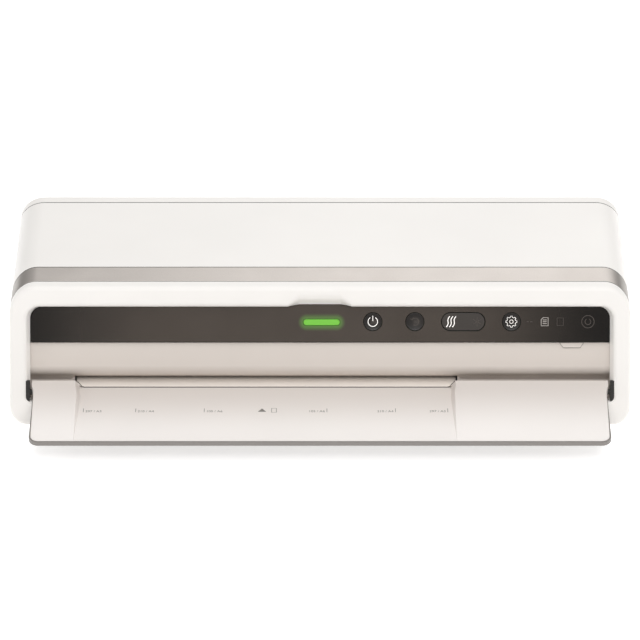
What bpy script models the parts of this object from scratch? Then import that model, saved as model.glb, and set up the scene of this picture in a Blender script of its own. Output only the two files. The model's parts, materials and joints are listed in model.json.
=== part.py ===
"""An A3 pouch laminator with its entry tray folded down. Metres, +Z up, front towards -Y."""

import math

import bmesh
import bpy
from mathutils import Matrix, Vector

MM = 0.001
GAP = 0.3 * MM

# Housing: a rounded box whose front leans back and whose rear leans forward.
WIDTH = 519 * MM
FOOT_HEIGHT = 4 * MM
TOP = 107.4 * MM
BASE_DEPTH = 225 * MM
WALL = 2.5 * MM
TOP_ROUND = 22 * MM
BASE_ROUND = 14 * MM
FACE_LEAN = math.radians(27)
REAR_LEAN = math.radians(7.7)
FRONT_BEZEL_DEPTH = 10 * MM
BAND_DEPTH = 24 * MM
REAR_BEZEL_DEPTH = 11 * MM
PARTING_HEIGHT = 24 * MM

# Front opening, measured up the face from its bottom edge and inwards from its plane.
OPENING_HALF = 244.6 * MM
OPENING_LOW = 21.5 * MM
OPENING_HIGH = 99.8 * MM
OPENING_ROUND = 10 * MM
OPENING_CHAMFER = 3.8 * MM
RECESS = 8 * MM
PANEL_HALF = 242.3 * MM
PANEL_LOW = 69.9 * MM
PANEL_THICKNESS = 2.5 * MM
KEY_LINE = 86.9 * MM
SCOOP_HALF = 26.5 * MM
SCOOP_FLAT = 17.3 * MM
SCOOP_HEIGHT = 11 * MM
FASCIA_HALF = 249 * MM
FASCIA_DROP = 9.6 * MM
FASCIA_CURVE = 8.6 * MM
FASCIA_FLAT_LOW = 50 * MM

# Keys and lights, as distances from the middle.
KEY_ROUND = 7.5 * MM
POWER_AT = 44.2 * MM
REVERSE_AT = 79.4 * MM
TEMPERATURE_AT = 119.9 * MM
TEMPERATURE_LENGTH = 36.3 * MM
SETTINGS_AT = 160.2 * MM
LIGHT_AT = 1.4 * MM
TAB_AT = 210.7 * MM

# Pouch path, left of the middle.
SLOT_LEFT = -203.4 * MM
SLOT_RIGHT = 112.9 * MM
RAMP_HEIGHT = 27.6 * MM
RAMP_CORNER = 3.8 * MM

# Entry tray, drawn closed about its hinge and turned down to its open place.
TRAY_HALF = 240.3 * MM
TRAY_REAR = -6.3 * MM
SKIN_REAR = -5.2 * MM
TRAY_END = 71.2 * MM
TRAY_ROUND = 8 * MM
HINGE_UP = 28.4 * MM
HINGE_IN = 4 * MM
TRAY_OPEN = math.radians(121.5)
FLOOR = -0.4 * MM
SHOULDER = -8 * MM
SKIN = 1.2 * MM
RIM = 1.2 * MM
TRAY_PIN = 2.5 * MM
BUSH_ROUND = 9.9 * MM

# Rear opening and exit tray.
REAR_HALF = 226 * MM
REAR_LOW = 22.5 * MM
REAR_HIGH = 96.5 * MM
REAR_HINGE_UP = 26.4 * MM
REAR_HINGE_IN = 3 * MM
REAR_TRAY_THICKNESS = 3.5 * MM
REAR_TRAY_CLEAR = 1.1 * MM
REAR_TRAY_FOOT = 1.6 * MM
INLET_X = 205 * MM

# Rollers and gears.
ROLLER_ROUND = 11.8 * MM
ROLLER_PITCH = 12 * MM
NIP_HEIGHT = 32.5 * MM
HOT_Y = 78 * MM
PAIR_SPACING = 60 * MM
SLEEVE_LEFT = -205 * MM
SLEEVE_RIGHT = 115 * MM
CORE_ROUND = 8 * MM
JOURNAL = 5 * MM
LEFT_PLATE_X = -216 * MM
RIGHT_PLATE_X = 126 * MM
PLATE = 2 * MM
GEAR_MODULE = 1.5 * MM
ROLLER_TEETH = 16
IDLER_TEETH = 24
PINION_TEETH = 12
GEAR_X = 132.5 * MM
GEAR_WIDTH = 6 * MM
BRACKET_X = 141 * MM


def clear_scene():
    for obj in list(bpy.data.objects):
        bpy.data.objects.remove(obj, do_unlink=True)


def new_collection(name):
    collection = bpy.data.collections.new(name)
    bpy.context.scene.collection.children.link(collection)
    return collection


clear_scene()
PARTS = new_collection("pouch_laminator")
CUTTERS = new_collection("cutters")
CUTTERS.hide_render = True


def material(name, red, green, blue, roughness=0.45, metallic=0.0):
    """A Principled material from a colour given in 0..255 display values."""
    made = bpy.data.materials.new(name)
    made.use_nodes = True
    shader = made.node_tree.nodes["Principled BSDF"]
    linear = [((value / 255 + 0.055) / 1.055) ** 2.4 for value in (red, green, blue)]
    shader.inputs["Base Color"].default_value = (*linear, 1.0)
    shader.inputs["Roughness"].default_value = roughness
    shader.inputs["Metallic"].default_value = metallic
    return made


WHITE = material("white_plastic", 244, 241, 237, 0.35)
CHAMPAGNE = material("champagne_band", 205, 198, 190, 0.3, 0.6)
BEIGE = material("beige_plastic", 207, 199, 191, 0.5)
GREY = material("grey_plastic", 150, 147, 142, 0.45)
GLOSS = material("gloss_black", 45, 40, 36, 0.1)
KEY = material("key_black", 38, 33, 30, 0.25)
GREEN = material("green_light", 115, 190, 65, 0.3)
DARK = material("dark_plastic", 40, 38, 36, 0.5)
RUBBER = material("rubber", 35, 35, 35, 0.8)
STEEL = material("zinc_steel", 170, 172, 175, 0.35, 1.0)
SILICONE = material("red_silicone", 150, 60, 45, 0.6)
ALUMINIUM = material("aluminium", 190, 190, 192, 0.35, 1.0)
ACETAL = material("white_acetal", 225, 223, 215, 0.4)
BOARD = material("circuit_board", 30, 95, 55, 0.4)


# Frames: each one holds the pieces drawn in its own plane.


def frame_empty(name, location, rotation, parent=None):
    empty = bpy.data.objects.new(name, None)
    empty.empty_display_size = 0.02
    empty.location = location
    empty.rotation_euler = rotation
    empty.parent = parent
    PARTS.objects.link(empty)
    return empty


def face_point(up, inward):
    """World y and z, before the whole is centred, of a place on or behind the leaning face."""
    y = up * math.sin(FACE_LEAN) + inward * math.cos(FACE_LEAN)
    z = FOOT_HEIGHT + up * math.cos(FACE_LEAN) - inward * math.sin(FACE_LEAN)
    return y, z


def rear_point(up, inward):
    y = BASE_DEPTH - up * math.sin(REAR_LEAN) - inward * math.cos(REAR_LEAN)
    z = FOOT_HEIGHT + up * math.cos(REAR_LEAN) - inward * math.sin(REAR_LEAN)
    return y, z


def open_tray_front():
    """The most forward y of the open tray: the lower front corner of its skin."""
    angle = math.pi / 2 - FACE_LEAN + TRAY_OPEN
    hinge_y, _ = face_point(HINGE_UP, HINGE_IN)
    return min(
        hinge_y + TRAY_END * math.cos(angle) - height * math.sin(angle)
        for height in (HINGE_IN, FLOOR)
    )


CENTRE_Y = (open_tray_front() + BASE_DEPTH) / 2
WHOLE = frame_empty("laminator_frame", (0, -CENTRE_Y, 0), (0, 0, 0))
FACE_TURN = math.pi / 2 - FACE_LEAN
FACE = frame_empty("face_frame", (0, 0, FOOT_HEIGHT), (FACE_TURN, 0, 0), WHOLE)
REAR = frame_empty(
    "rear_frame", (0, BASE_DEPTH, FOOT_HEIGHT), (math.pi / 2 - REAR_LEAN, 0, math.pi), WHOLE
)
FRONT_HINGE = frame_empty(
    "front_tray_hinge", (0, *face_point(HINGE_UP, HINGE_IN)), (FACE_TURN + TRAY_OPEN, 0, 0), WHOLE
)
REAR_HINGE = frame_empty(
    "rear_tray_hinge",
    (0, *rear_point(REAR_HINGE_UP, REAR_HINGE_IN)),
    (math.pi / 2 - REAR_LEAN, 0, math.pi),
    WHOLE,
)
SIDEWAYS = (math.pi / 2, 0, math.pi / 2)


# Shapes.


def arc(centre_x, centre_y, radius, start, end, steps=6):
    """Points along an arc, with its angles in degrees."""
    angles = [math.radians(start + (end - start) * step / steps) for step in range(steps + 1)]
    return [(centre_x + radius * math.cos(a), centre_y + radius * math.sin(a)) for a in angles]


def circle(centre_x, centre_y, radius, steps=24):
    return arc(centre_x, centre_y, radius, 0, 360, steps)[:-1]


def rounded_rect(left, low, right, high, low_round, high_round, steps=6):
    return [
        *arc(left + low_round, low + low_round, low_round, 180, 270, steps),
        *arc(right - low_round, low + low_round, low_round, 270, 360, steps),
        *arc(right - high_round, high - high_round, high_round, 0, 90, steps),
        *arc(left + high_round, high - high_round, high_round, 90, 180, steps),
    ]


def add_object(name, mesh, finish, parent, location=(0, 0, 0), rotation=(0, 0, 0)):
    obj = bpy.data.objects.new(name, mesh)
    obj.location = location
    obj.rotation_euler = rotation
    obj.parent = parent
    if finish is None:
        obj.hide_render = True
        obj.display_type = "WIRE"
        CUTTERS.objects.link(obj)
        return obj
    mesh.materials.append(finish)
    PARTS.objects.link(obj)
    return obj


def mesh_from(bm, name, smooth=False):
    bmesh.ops.recalc_face_normals(bm, faces=bm.faces)
    mesh = bpy.data.meshes.new(name)
    bm.to_mesh(mesh)
    bm.free()
    if smooth:
        mesh.shade_smooth()
        mesh.set_sharp_from_angle(angle=math.radians(35))
    return mesh


def loft(name, rings, finish, parent, **place):
    """A solid through rings of points that match one to one."""
    bm = bmesh.new()
    face = bm.faces.new([bm.verts.new(point) for point in rings[0]])
    for index, ring in enumerate(rings[1:]):
        made = bmesh.ops.extrude_face_region(bm, geom=[face])
        if index > 0:
            bmesh.ops.delete(bm, geom=[face], context="FACES_ONLY")
        face = next(item for item in made["geom"] if isinstance(item, bmesh.types.BMFace))
        for vert, point in zip(face.verts, ring):
            vert.co = point
    return add_object(name, mesh_from(bm, name, smooth=True), finish, parent, **place)


def between_planes(name, outline, front, back, finish):
    """An outline in X and Z, drawn from the plane y = front(z) to the plane y = back(z)."""
    rings = [[Vector((x, plane(z), z)) for x, z in outline] for plane in (front, back)]
    return loft(name, rings, finish, WHOLE)


def flat_plate(name, loops, low, high, finish, parent, **place):
    """A plate from an outline and its holes, from one height to another."""
    curve = bpy.data.curves.new(name, "CURVE")
    curve.dimensions = "2D"
    curve.fill_mode = "BOTH"
    curve.extrude = (high - low) / 2
    for loop in loops:
        spline = curve.splines.new("POLY")
        spline.points.add(len(loop) - 1)
        for point, (x, y) in zip(spline.points, loop):
            point.co = (x, y, 0, 1)
        spline.use_cyclic_u = True
    outline = bpy.data.objects.new(name + "_outline", curve)
    PARTS.objects.link(outline)
    graph = bpy.context.evaluated_depsgraph_get()
    mesh = bpy.data.meshes.new_from_object(outline.evaluated_get(graph))
    bpy.data.objects.remove(outline, do_unlink=True)
    bm = bmesh.new()
    bm.from_mesh(mesh)
    bmesh.ops.remove_doubles(bm, verts=bm.verts, dist=0.001 * MM)
    bmesh.ops.translate(bm, verts=bm.verts, vec=(0, 0, (low + high) / 2))
    return add_object(name, mesh_from(bm, name, smooth=True), finish, parent, **place)


def box(name, low, high, finish, parent, bevel=0.0, **place):
    bm = bmesh.new()
    size = Vector(high) - Vector(low)
    middle = (Vector(high) + Vector(low)) / 2
    bmesh.ops.create_cube(bm, size=1, matrix=Matrix.Translation(middle) @ Matrix.Diagonal((*size, 1)))
    if bevel:
        bmesh.ops.bevel(bm, geom=bm.edges, offset=bevel, segments=1, affect="EDGES")
    return add_object(name, mesh_from(bm, name), finish, parent, **place)


def turned(name, profile, finish, parent, steps=24, **place):
    """A profile of radius and height pairs, turned about its own Z. A closed profile makes a ring."""
    mesh = bpy.data.meshes.new(name)
    closed = min(radius for radius, _ in profile) > 0
    edges = [(i, i + 1) for i in range(len(profile) - 1)]
    if closed:
        edges.append((len(profile) - 1, 0))
    mesh.from_pydata([(radius, 0, height) for radius, height in profile], edges, [])
    obj = add_object(name, mesh, finish, parent, **place)
    screw = obj.modifiers.new("turn", "SCREW")
    screw.steps = steps
    screw.render_steps = steps
    screw.use_merge_vertices = True
    screw.merge_threshold = 0.01 * MM
    return obj


def boolean(obj, other, operation):
    modifier = obj.modifiers.new(f"{operation.lower()}_{other.name}", "BOOLEAN")
    modifier.operation = operation
    modifier.object = other


def cut(obj, *cutters):
    for cutter in cutters:
        boolean(obj, cutter, "DIFFERENCE")


def join(obj, *others):
    for other in others:
        boolean(obj, other, "UNION")


# Housing shells.


def face_plane(offset):
    return lambda z: (z - FOOT_HEIGHT) * math.tan(FACE_LEAN) + offset


def rear_plane(offset):
    return lambda z: BASE_DEPTH - (z - FOOT_HEIGHT) * math.tan(REAR_LEAN) - offset


def housing_outline(inset=0.0):
    return rounded_rect(
        -WIDTH / 2 + inset,
        FOOT_HEIGHT + inset,
        WIDTH / 2 - inset,
        TOP - inset,
        BASE_ROUND - inset,
        TOP_ROUND - inset,
        8,
    )


def arch_outline():
    """The top and both sides of the housing, as one bent wall."""
    outer = [
        (WIDTH / 2, PARTING_HEIGHT + GAP),
        *arc(WIDTH / 2 - TOP_ROUND, TOP - TOP_ROUND, TOP_ROUND, 0, 90, 8),
        *arc(-WIDTH / 2 + TOP_ROUND, TOP - TOP_ROUND, TOP_ROUND, 90, 180, 8),
        (-WIDTH / 2, PARTING_HEIGHT + GAP),
    ]
    inner_round = TOP_ROUND - WALL
    inner = [
        (-WIDTH / 2 + WALL, PARTING_HEIGHT + GAP),
        *arc(-WIDTH / 2 + TOP_ROUND, TOP - TOP_ROUND, inner_round, 180, 90, 8),
        *arc(WIDTH / 2 - TOP_ROUND, TOP - TOP_ROUND, inner_round, 90, 0, 8),
        (WIDTH / 2 - WALL, PARTING_HEIGHT + GAP),
    ]
    return outer + inner


def pan_outline():
    outer = [
        (-WIDTH / 2, PARTING_HEIGHT),
        *arc(-WIDTH / 2 + BASE_ROUND, FOOT_HEIGHT + BASE_ROUND, BASE_ROUND, 180, 270, 8),
        *arc(WIDTH / 2 - BASE_ROUND, FOOT_HEIGHT + BASE_ROUND, BASE_ROUND, 270, 360, 8),
        (WIDTH / 2, PARTING_HEIGHT),
    ]
    inner_round = BASE_ROUND - WALL
    inner = [
        (WIDTH / 2 - WALL, PARTING_HEIGHT),
        *arc(WIDTH / 2 - BASE_ROUND, FOOT_HEIGHT + BASE_ROUND, inner_round, 360, 270, 8),
        *arc(-WIDTH / 2 + BASE_ROUND, FOOT_HEIGHT + BASE_ROUND, inner_round, 270, 180, 8),
        (-WIDTH / 2 + WALL, PARTING_HEIGHT),
    ]
    return outer + inner


def stepped_opening(name, sections, frame):
    """A cutter through rounded rectangles at growing depth: half width, low, high, round, depth."""
    rings = []
    for half, low, high, corner, depth in sections:
        outline = rounded_rect(-half, low, half, high, 3 * MM, corner)
        rings.append([Vector((x, y, -depth)) for x, y in outline])
    return loft(name, rings, None, frame)


def scoop_cutter(name, frame, high, half, flat, height, depth):
    """A finger scoop that slopes back down towards the opening."""
    outer = [(-half, high - MM), (half, high - MM), (flat, high + height), (-flat, high + height)]
    inner = [(-half, high - MM), (half, high - MM), (flat, high + 2 * MM), (-flat, high + 2 * MM)]
    rings = [[Vector((x, y, z)) for x, y in ring] for ring, z in ((outer, MM), (inner, -depth))]
    return loft(name, rings, None, frame)


def pocket_cutter(name, front, back, frame, island):
    """Hollows a bezel from behind, round an island that stays as the wall of its opening."""
    pocket = between_planes(name, housing_outline(WALL), front, back, None)
    core = flat_plate(name + "_island", [island], -40 * MM, 5 * MM, None, frame)
    cut(pocket, core)
    return pocket


def make_front_bezel():
    bezel = between_planes(
        "front_bezel", housing_outline(), face_plane(0), face_plane(FRONT_BEZEL_DEPTH), WHITE
    )
    chamfer = OPENING_CHAMFER + MM
    low = OPENING_LOW
    high = OPENING_HIGH
    opening = stepped_opening(
        "front_opening_cutter",
        [
            (OPENING_HALF + chamfer, low - chamfer, high + chamfer, OPENING_ROUND + chamfer, -MM),
            (OPENING_HALF, low, high, OPENING_ROUND, OPENING_CHAMFER),
            (PANEL_HALF + 0.4 * MM, low, high, OPENING_ROUND, RECESS),
            (PANEL_HALF + 0.4 * MM, low, high, OPENING_ROUND, 3 * RECESS),
        ],
        FACE,
    )
    scoop = scoop_cutter(
        "front_scoop_cutter", FACE, high, SCOOP_HALF, SCOOP_FLAT, SCOOP_HEIGHT, RECESS
    )
    edge = 3.2 * MM
    reach = OPENING_HALF + edge
    island = rounded_rect(-reach, low - edge, reach, high + SCOOP_HEIGHT, edge, OPENING_ROUND)
    pocket = pocket_cutter("front_pocket_cutter", face_plane(3.4 * MM), face_plane(14 * MM), FACE, island)
    cut(bezel, pocket, opening, scoop)
    half = 2.6 * MM
    for side in (-1, 1):
        recess = box(
            f"bush_recess_cutter_{'left' if side < 0 else 'right'}",
            (side * OPENING_HALF - half, HINGE_UP - BUSH_ROUND - GAP, -20 * MM),
            (side * OPENING_HALF + half, HINGE_UP + BUSH_ROUND + GAP, -0.6 * MM),
            None,
            FACE,
        )
        cut(bezel, recess)


def make_rear_bezel():
    bezel = between_planes(
        "rear_bezel", housing_outline(), rear_plane(REAR_BEZEL_DEPTH), rear_plane(0), WHITE
    )
    grow = 2 * MM
    opening = stepped_opening(
        "rear_opening_cutter",
        [
            (REAR_HALF + grow, REAR_LOW - grow, REAR_HIGH + grow, OPENING_ROUND, -MM),
            (REAR_HALF, REAR_LOW, REAR_HIGH, OPENING_ROUND - grow, grow / 2),
            (REAR_HALF, REAR_LOW, REAR_HIGH, OPENING_ROUND - grow, 3 * RECESS),
        ],
        REAR,
    )
    scoop = scoop_cutter("rear_scoop_cutter", REAR, REAR_HIGH, SCOOP_HALF, SCOOP_FLAT, 8 * MM, 6 * MM)
    edge = 2.5 * MM
    reach = REAR_HALF + edge + 2 * MM
    island = rounded_rect(-reach, -MM, reach, REAR_HIGH + 8 * MM, edge, OPENING_ROUND)
    pocket = pocket_cutter(
        "rear_pocket_cutter",
        rear_plane(REAR_BEZEL_DEPTH + 3 * MM),
        rear_plane(3 * MM),
        REAR,
        island,
    )
    reach = REAR_HALF + 3 * MM
    pins = turned(
        "rear_pin_cutter",
        [(0, reach), (2.4 * MM, reach), (2.4 * MM, -reach), (0, -reach)],
        None,
        REAR_HINGE,
        16,
        rotation=(0, math.pi / 2, 0),
    )
    socket = box(
        "inlet_cutter",
        (INLET_X - 11 * MM, BASE_DEPTH - 20 * MM, 8.2 * MM),
        (INLET_X + 11 * MM, BASE_DEPTH + 10 * MM, 21.8 * MM),
        None,
        WHOLE,
    )
    cut(bezel, pocket, opening, scoop, pins, socket)


def make_housing():
    band_start = FRONT_BEZEL_DEPTH + GAP
    cover_start = band_start + BAND_DEPTH + GAP
    between_planes(
        "base_pan",
        pan_outline(),
        face_plane(band_start),
        rear_plane(REAR_BEZEL_DEPTH + GAP),
        WHITE,
    )
    between_planes(
        "accent_band",
        arch_outline(),
        face_plane(band_start),
        face_plane(band_start + BAND_DEPTH),
        CHAMPAGNE,
    )
    between_planes(
        "top_cover",
        arch_outline(),
        face_plane(cover_start),
        rear_plane(REAR_BEZEL_DEPTH + GAP),
        WHITE,
    )
    make_front_bezel()
    make_rear_bezel()


def make_feet():
    spots = [(side * 215 * MM, y) for y in (42 * MM, 195 * MM) for side in (-1, 1)]
    names = ("front_left_foot", "front_right_foot", "rear_left_foot", "rear_right_foot")
    for name, (x, y) in zip(names, spots):
        profile = [
            (0, FOOT_HEIGHT - GAP),
            (9 * MM, FOOT_HEIGHT - GAP),
            (8 * MM, 0.5 * MM),
            (7.5 * MM, 0),
            (0, 0),
        ]
        turned(name, profile, RUBBER, WHOLE, 20, location=(x, y, 0))


# Front panel, keys and fascia.


def pill(centre_x, centre_y, length, height, steps=8):
    radius = height / 2
    reach = length / 2 - radius
    return [
        *arc(centre_x + reach, centre_y, radius, -90, 90, steps),
        *arc(centre_x - reach, centre_y, radius, 90, 270, steps),
    ]


def make_panel():
    clear = 0.4 * MM
    outline = rounded_rect(
        -PANEL_HALF, PANEL_LOW, PANEL_HALF, OPENING_HIGH - GAP, MM, OPENING_ROUND - GAP
    )
    holes = [circle(x, KEY_LINE, KEY_ROUND + clear) for x in (POWER_AT, REVERSE_AT, SETTINGS_AT)]
    holes.append(
        pill(TEMPERATURE_AT, KEY_LINE, TEMPERATURE_LENGTH + 2 * clear, 2 * (KEY_ROUND + clear))
    )
    holes.append(pill(LIGHT_AT, KEY_LINE - 0.5 * MM, 31 * MM, 5.6 * MM, 4))
    top = -RECESS
    flat_plate("control_panel", [outline, *holes], top - PANEL_THICKNESS, top, GLOSS, FACE)
    light = [pill(LIGHT_AT, KEY_LINE - 0.5 * MM, 30.4 * MM, 5 * MM, 4)]
    flat_plate("light_bar", light, top - 4 * MM, top - 0.2 * MM, GREEN, FACE)


def make_round_key(name, x):
    """A round key with a shallow dish in its top, standing a little below the panel."""
    top = -RECESS - 0.3 * MM
    dish = [(KEY_ROUND * share, top - 0.6 * MM * (1 - share * share)) for share in (0.0, 0.45, 0.8)]
    profile = [*dish, (KEY_ROUND, top), (KEY_ROUND, top - 5 * MM), (0, top - 5 * MM)]
    turned(name, profile, KEY, FACE, 24, location=(x, KEY_LINE, 0))


def make_keys():
    make_round_key("power_key", POWER_AT)
    make_round_key("reverse_key", REVERSE_AT)
    make_round_key("settings_key", SETTINGS_AT)
    outline = pill(0, 0, TEMPERATURE_LENGTH, 2 * KEY_ROUND)
    top = -RECESS - 0.5 * MM
    flat_plate(
        "temperature_key",
        [outline],
        top - 3.5 * MM,
        top,
        KEY,
        FACE,
        location=(TEMPERATURE_AT, KEY_LINE, 0),
    )
    box(
        "control_board",
        (-25 * MM, 76 * MM, -17.6 * MM),
        (232 * MM, 97 * MM, -16 * MM),
        BOARD,
        FACE,
    )


def make_fascia():
    """A bent wall: flat below the panel, curled in over the slot, then down behind the tray."""
    drop = FASCIA_DROP
    curl = arc(-drop - FASCIA_CURVE, FASCIA_FLAT_LOW, FASCIA_CURVE, 0, -90, 8)
    path = [(-drop, PANEL_LOW - 0.6 * MM)]
    path += curl
    lip_depth, lip_low = curl[-1]
    path += [(lip_depth - 2.6 * MM, lip_low), (lip_depth - 2.6 * MM, 17 * MM)]
    half = FASCIA_HALF
    bm = bmesh.new()
    edge = [bm.verts.new((-half, up, height)) for height, up in path]
    lines = [bm.edges.new(pair) for pair in zip(edge, edge[1:])]
    made = bmesh.ops.extrude_edge_only(bm, edges=lines)
    ends = [item for item in made["geom"] if isinstance(item, bmesh.types.BMVert)]
    bmesh.ops.translate(bm, verts=ends, vec=(2 * half, 0, 0))
    fascia = add_object("front_fascia", mesh_from(bm, "front_fascia", smooth=True), BEIGE, FACE)
    shell = fascia.modifiers.new("wall", "SOLIDIFY")
    shell.thickness = 2 * MM
    shell.offset = 1
    shell.use_even_offset = True
    slot = box(
        "slot_cutter",
        (SLOT_LEFT - 2.5 * MM, 33 * MM, -25 * MM),
        (SLOT_RIGHT + 2.5 * MM, lip_low + 4 * MM, lip_depth - 0.4 * MM),
        None,
        FACE,
    )
    cheek_x = half - MM
    for side in (-1, 1):
        cheek = box(
            f"fascia_cheek_{'left' if side < 0 else 'right'}",
            (side * cheek_x - 0.9 * MM, 17.2 * MM, lip_depth - 4 * MM),
            (side * cheek_x + 0.9 * MM, PANEL_LOW - 0.8 * MM, -drop - 0.2 * MM),
            None,
            FACE,
        )
        join(fascia, cheek)
    cut(fascia, slot)
    tab = [
        (TAB_AT - 7.2 * MM, 65 * MM),
        (TAB_AT + 7.2 * MM, 65 * MM),
        (TAB_AT + 10 * MM, PANEL_LOW - 0.6 * MM),
        (TAB_AT - 10 * MM, PANEL_LOW - 0.6 * MM),
    ]
    flat_plate("fascia_tab", [tab], -drop + GAP, -drop + 0.9 * MM, BEIGE, FACE)


# Trays.


def wedge(name, outer_x, inner_x, spread):
    """A tray shoulder, thick at the hinge and thin at the free edge, with a sloping inner side."""
    buried = 1.5 * MM
    rear = TRAY_REAR
    end = TRAY_END - RIM - MM
    high = [(rear, SHOULDER + 1.5 * MM), (rear + 1.5 * MM, SHOULDER), (end, FLOOR - 0.1 * MM)]
    slope = spread / (FLOOR - SHOULDER)
    corner = TRAY_ROUND - RIM
    toward = math.copysign(corner, inner_x - outer_x)
    rings = []
    for x, short in ((outer_x, corner), (outer_x + toward, 0)):
        tip = FLOOR - 0.1 * MM + (SHOULDER - FLOOR) * short / (end - rear)
        side = [(rear, buried), *high[:2], (end - short, tip), (end - short, buried)]
        rings.append([Vector((x, y, z)) for y, z in side])
    inner = [Vector((inner_x + slope * (buried - SHOULDER), rear, buried))]
    inner += [Vector((inner_x + slope * (z - SHOULDER), y, z)) for y, z in high[:2]]
    inner += [Vector((inner_x, *high[2])), Vector((inner_x, end, buried))]
    return loft(name, [*rings, inner], None, FRONT_HINGE)


def tray_outline(inset, rear):
    half = TRAY_HALF - inset
    return rounded_rect(-half, rear, half, TRAY_END - inset, 0.5 * MM, TRAY_ROUND - inset)


def make_front_tray():
    skin_inside = HINGE_IN - SKIN
    inset = RIM + GAP
    plate = tray_outline(inset, TRAY_REAR)
    tray = flat_plate("front_tray", [plate], FLOOR, skin_inside - GAP, WHITE, FRONT_HINGE)
    half = TRAY_HALF - inset
    left = wedge("left_shoulder", -half, SLOT_LEFT, 4.6 * MM)
    right = wedge("right_shoulder", half, SLOT_RIGHT, -4.6 * MM)
    pin_reach = TRAY_HALF + 6 * MM
    pins = []
    for side in (-1, 1):
        pin = turned(
            f"tray_pin_{'left' if side < 0 else 'right'}",
            [(0, 4 * MM), (TRAY_PIN, 4 * MM), (TRAY_PIN, -4.5 * MM), (0, -4.5 * MM)],
            None,
            FRONT_HINGE,
            16,
            location=(side * (pin_reach - 4 * MM), 0, 0),
            rotation=(0, side * math.pi / 2, 0),
        )
        pins.append(pin)
    join(tray, left, right, *pins)
    base = flat_plate(
        "front_tray_skin", [tray_outline(0, SKIN_REAR)], skin_inside, HINGE_IN, GREY, FRONT_HINGE
    )
    rim = flat_plate(
        "skin_rim", [tray_outline(0, 8 * MM)], FLOOR, skin_inside + 0.5 * MM, None, FRONT_HINGE
    )
    hollow = flat_plate(
        "skin_hollow", [tray_outline(RIM, 2 * MM)], FLOOR - MM, skin_inside, None, FRONT_HINGE
    )
    join(base, rim)
    cut(base, hollow)


def make_tray_bushes():
    """Round bushes in the sides of the opening, cut flat behind the face."""
    flat = 0.9 * MM
    reach = HINGE_IN - flat
    edge = math.degrees(math.asin(reach / BUSH_ROUND))
    for side in (-1, 1):
        outline = arc(0, 0, BUSH_ROUND, 180 - edge, 360 + edge, 22)
        flat_plate(
            f"tray_bush_{'left' if side < 0 else 'right'}",
            [outline, circle(0, 0, TRAY_PIN + 0.4 * MM, 16)],
            -2 * MM,
            2 * MM,
            DARK,
            FACE,
            location=(side * 244.7 * MM, HINGE_UP, -HINGE_IN),
            rotation=SIDEWAYS,
        )


def make_rear_tray():
    half = REAR_HALF - REAR_TRAY_CLEAR
    rear = REAR_LOW + REAR_TRAY_FOOT - REAR_HINGE_UP
    end = REAR_HIGH - REAR_TRAY_CLEAR - REAR_HINGE_UP
    outline = rounded_rect(-half, rear, half, end, 4 * MM, OPENING_ROUND - 3 * MM)
    top = REAR_HINGE_IN
    tray = flat_plate("rear_tray", [outline], top - REAR_TRAY_THICKNESS, top, WHITE, REAR_HINGE)
    for side in (-1, 1):
        pin = turned(
            f"rear_tray_pin_{'left' if side < 0 else 'right'}",
            [(0, 4 * MM), (1.9 * MM, 4 * MM), (1.9 * MM, -7 * MM), (0, -7 * MM)],
            None,
            REAR_HINGE,
            16,
            location=(side * (REAR_HALF - 2 * MM), 0, 0),
            rotation=(0, side * math.pi / 2, 0),
        )
        join(tray, pin)


def make_rear_fascia():
    """The wall behind the exit tray, open below over the exit slot, and the slot's lower lip."""
    low = 20.5 * MM
    high = 97 * MM
    half = 240 * MM
    left = -SLOT_RIGHT - MM
    right = -SLOT_LEFT + MM
    slot_top = 36.5 * MM
    outline = [
        *[(-half, low), (left, low), (left, slot_top), (right, slot_top), (right, low)],
        *[(half, low), (half, high), (-half, high)],
    ]
    flat_plate("rear_fascia", [outline], -18 * MM, -16 * MM, BEIGE, REAR)
    exit_profile = rounded_rect(152 * MM, 26.5 * MM, 202.8 * MM, 28.5 * MM, 0.5 * MM, 0.5 * MM, 1)
    flat_plate(
        "exit_guide",
        [exit_profile],
        SLOT_LEFT,
        SLOT_RIGHT,
        BEIGE,
        WHOLE,
        rotation=SIDEWAYS,
    )


def make_entry_guides():
    low = [
        (23.4 * MM, RAMP_HEIGHT),
        (25.2 * MM, RAMP_HEIGHT - 2 * MM),
        (45 * MM, RAMP_HEIGHT - 2 * MM),
        (52 * MM, 29 * MM),
        (52 * MM, 31 * MM),
        (44 * MM, RAMP_HEIGHT),
    ]
    high = [(41 * MM, 35 * MM), (52 * MM, 35 * MM), (52 * MM, 37 * MM), (41 * MM, 37 * MM)]
    guides = {}
    for name, outline in (("entry_ramp", low), ("entry_guide_upper", high)):
        guides[name] = flat_plate(
            name, [outline], SLOT_LEFT - MM, SLOT_RIGHT + MM, BEIGE, WHOLE, rotation=SIDEWAYS
        )
    for side, edge in (("left", SLOT_LEFT), ("right", SLOT_RIGHT)):
        corner = box(
            f"ramp_corner_cutter_{side}",
            (edge - RAMP_CORNER, 20 * MM, 20 * MM),
            (edge + RAMP_CORNER, 26.4 * MM, 35 * MM),
            None,
            WHOLE,
        )
        cut(guides["entry_ramp"], corner)
    for name, bottom in (("heater_plate_lower", 27 * MM), ("heater_plate_upper", 34.4 * MM)):
        box(
            name,
            (SLEEVE_LEFT, 53 * MM, bottom),
            (SLEEVE_RIGHT, 64 * MM, bottom + 4 * MM),
            ALUMINIUM,
            WHOLE,
            0.6 * MM,
        )


# Drive: rollers, gears, motor and the plates that carry them.


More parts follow.
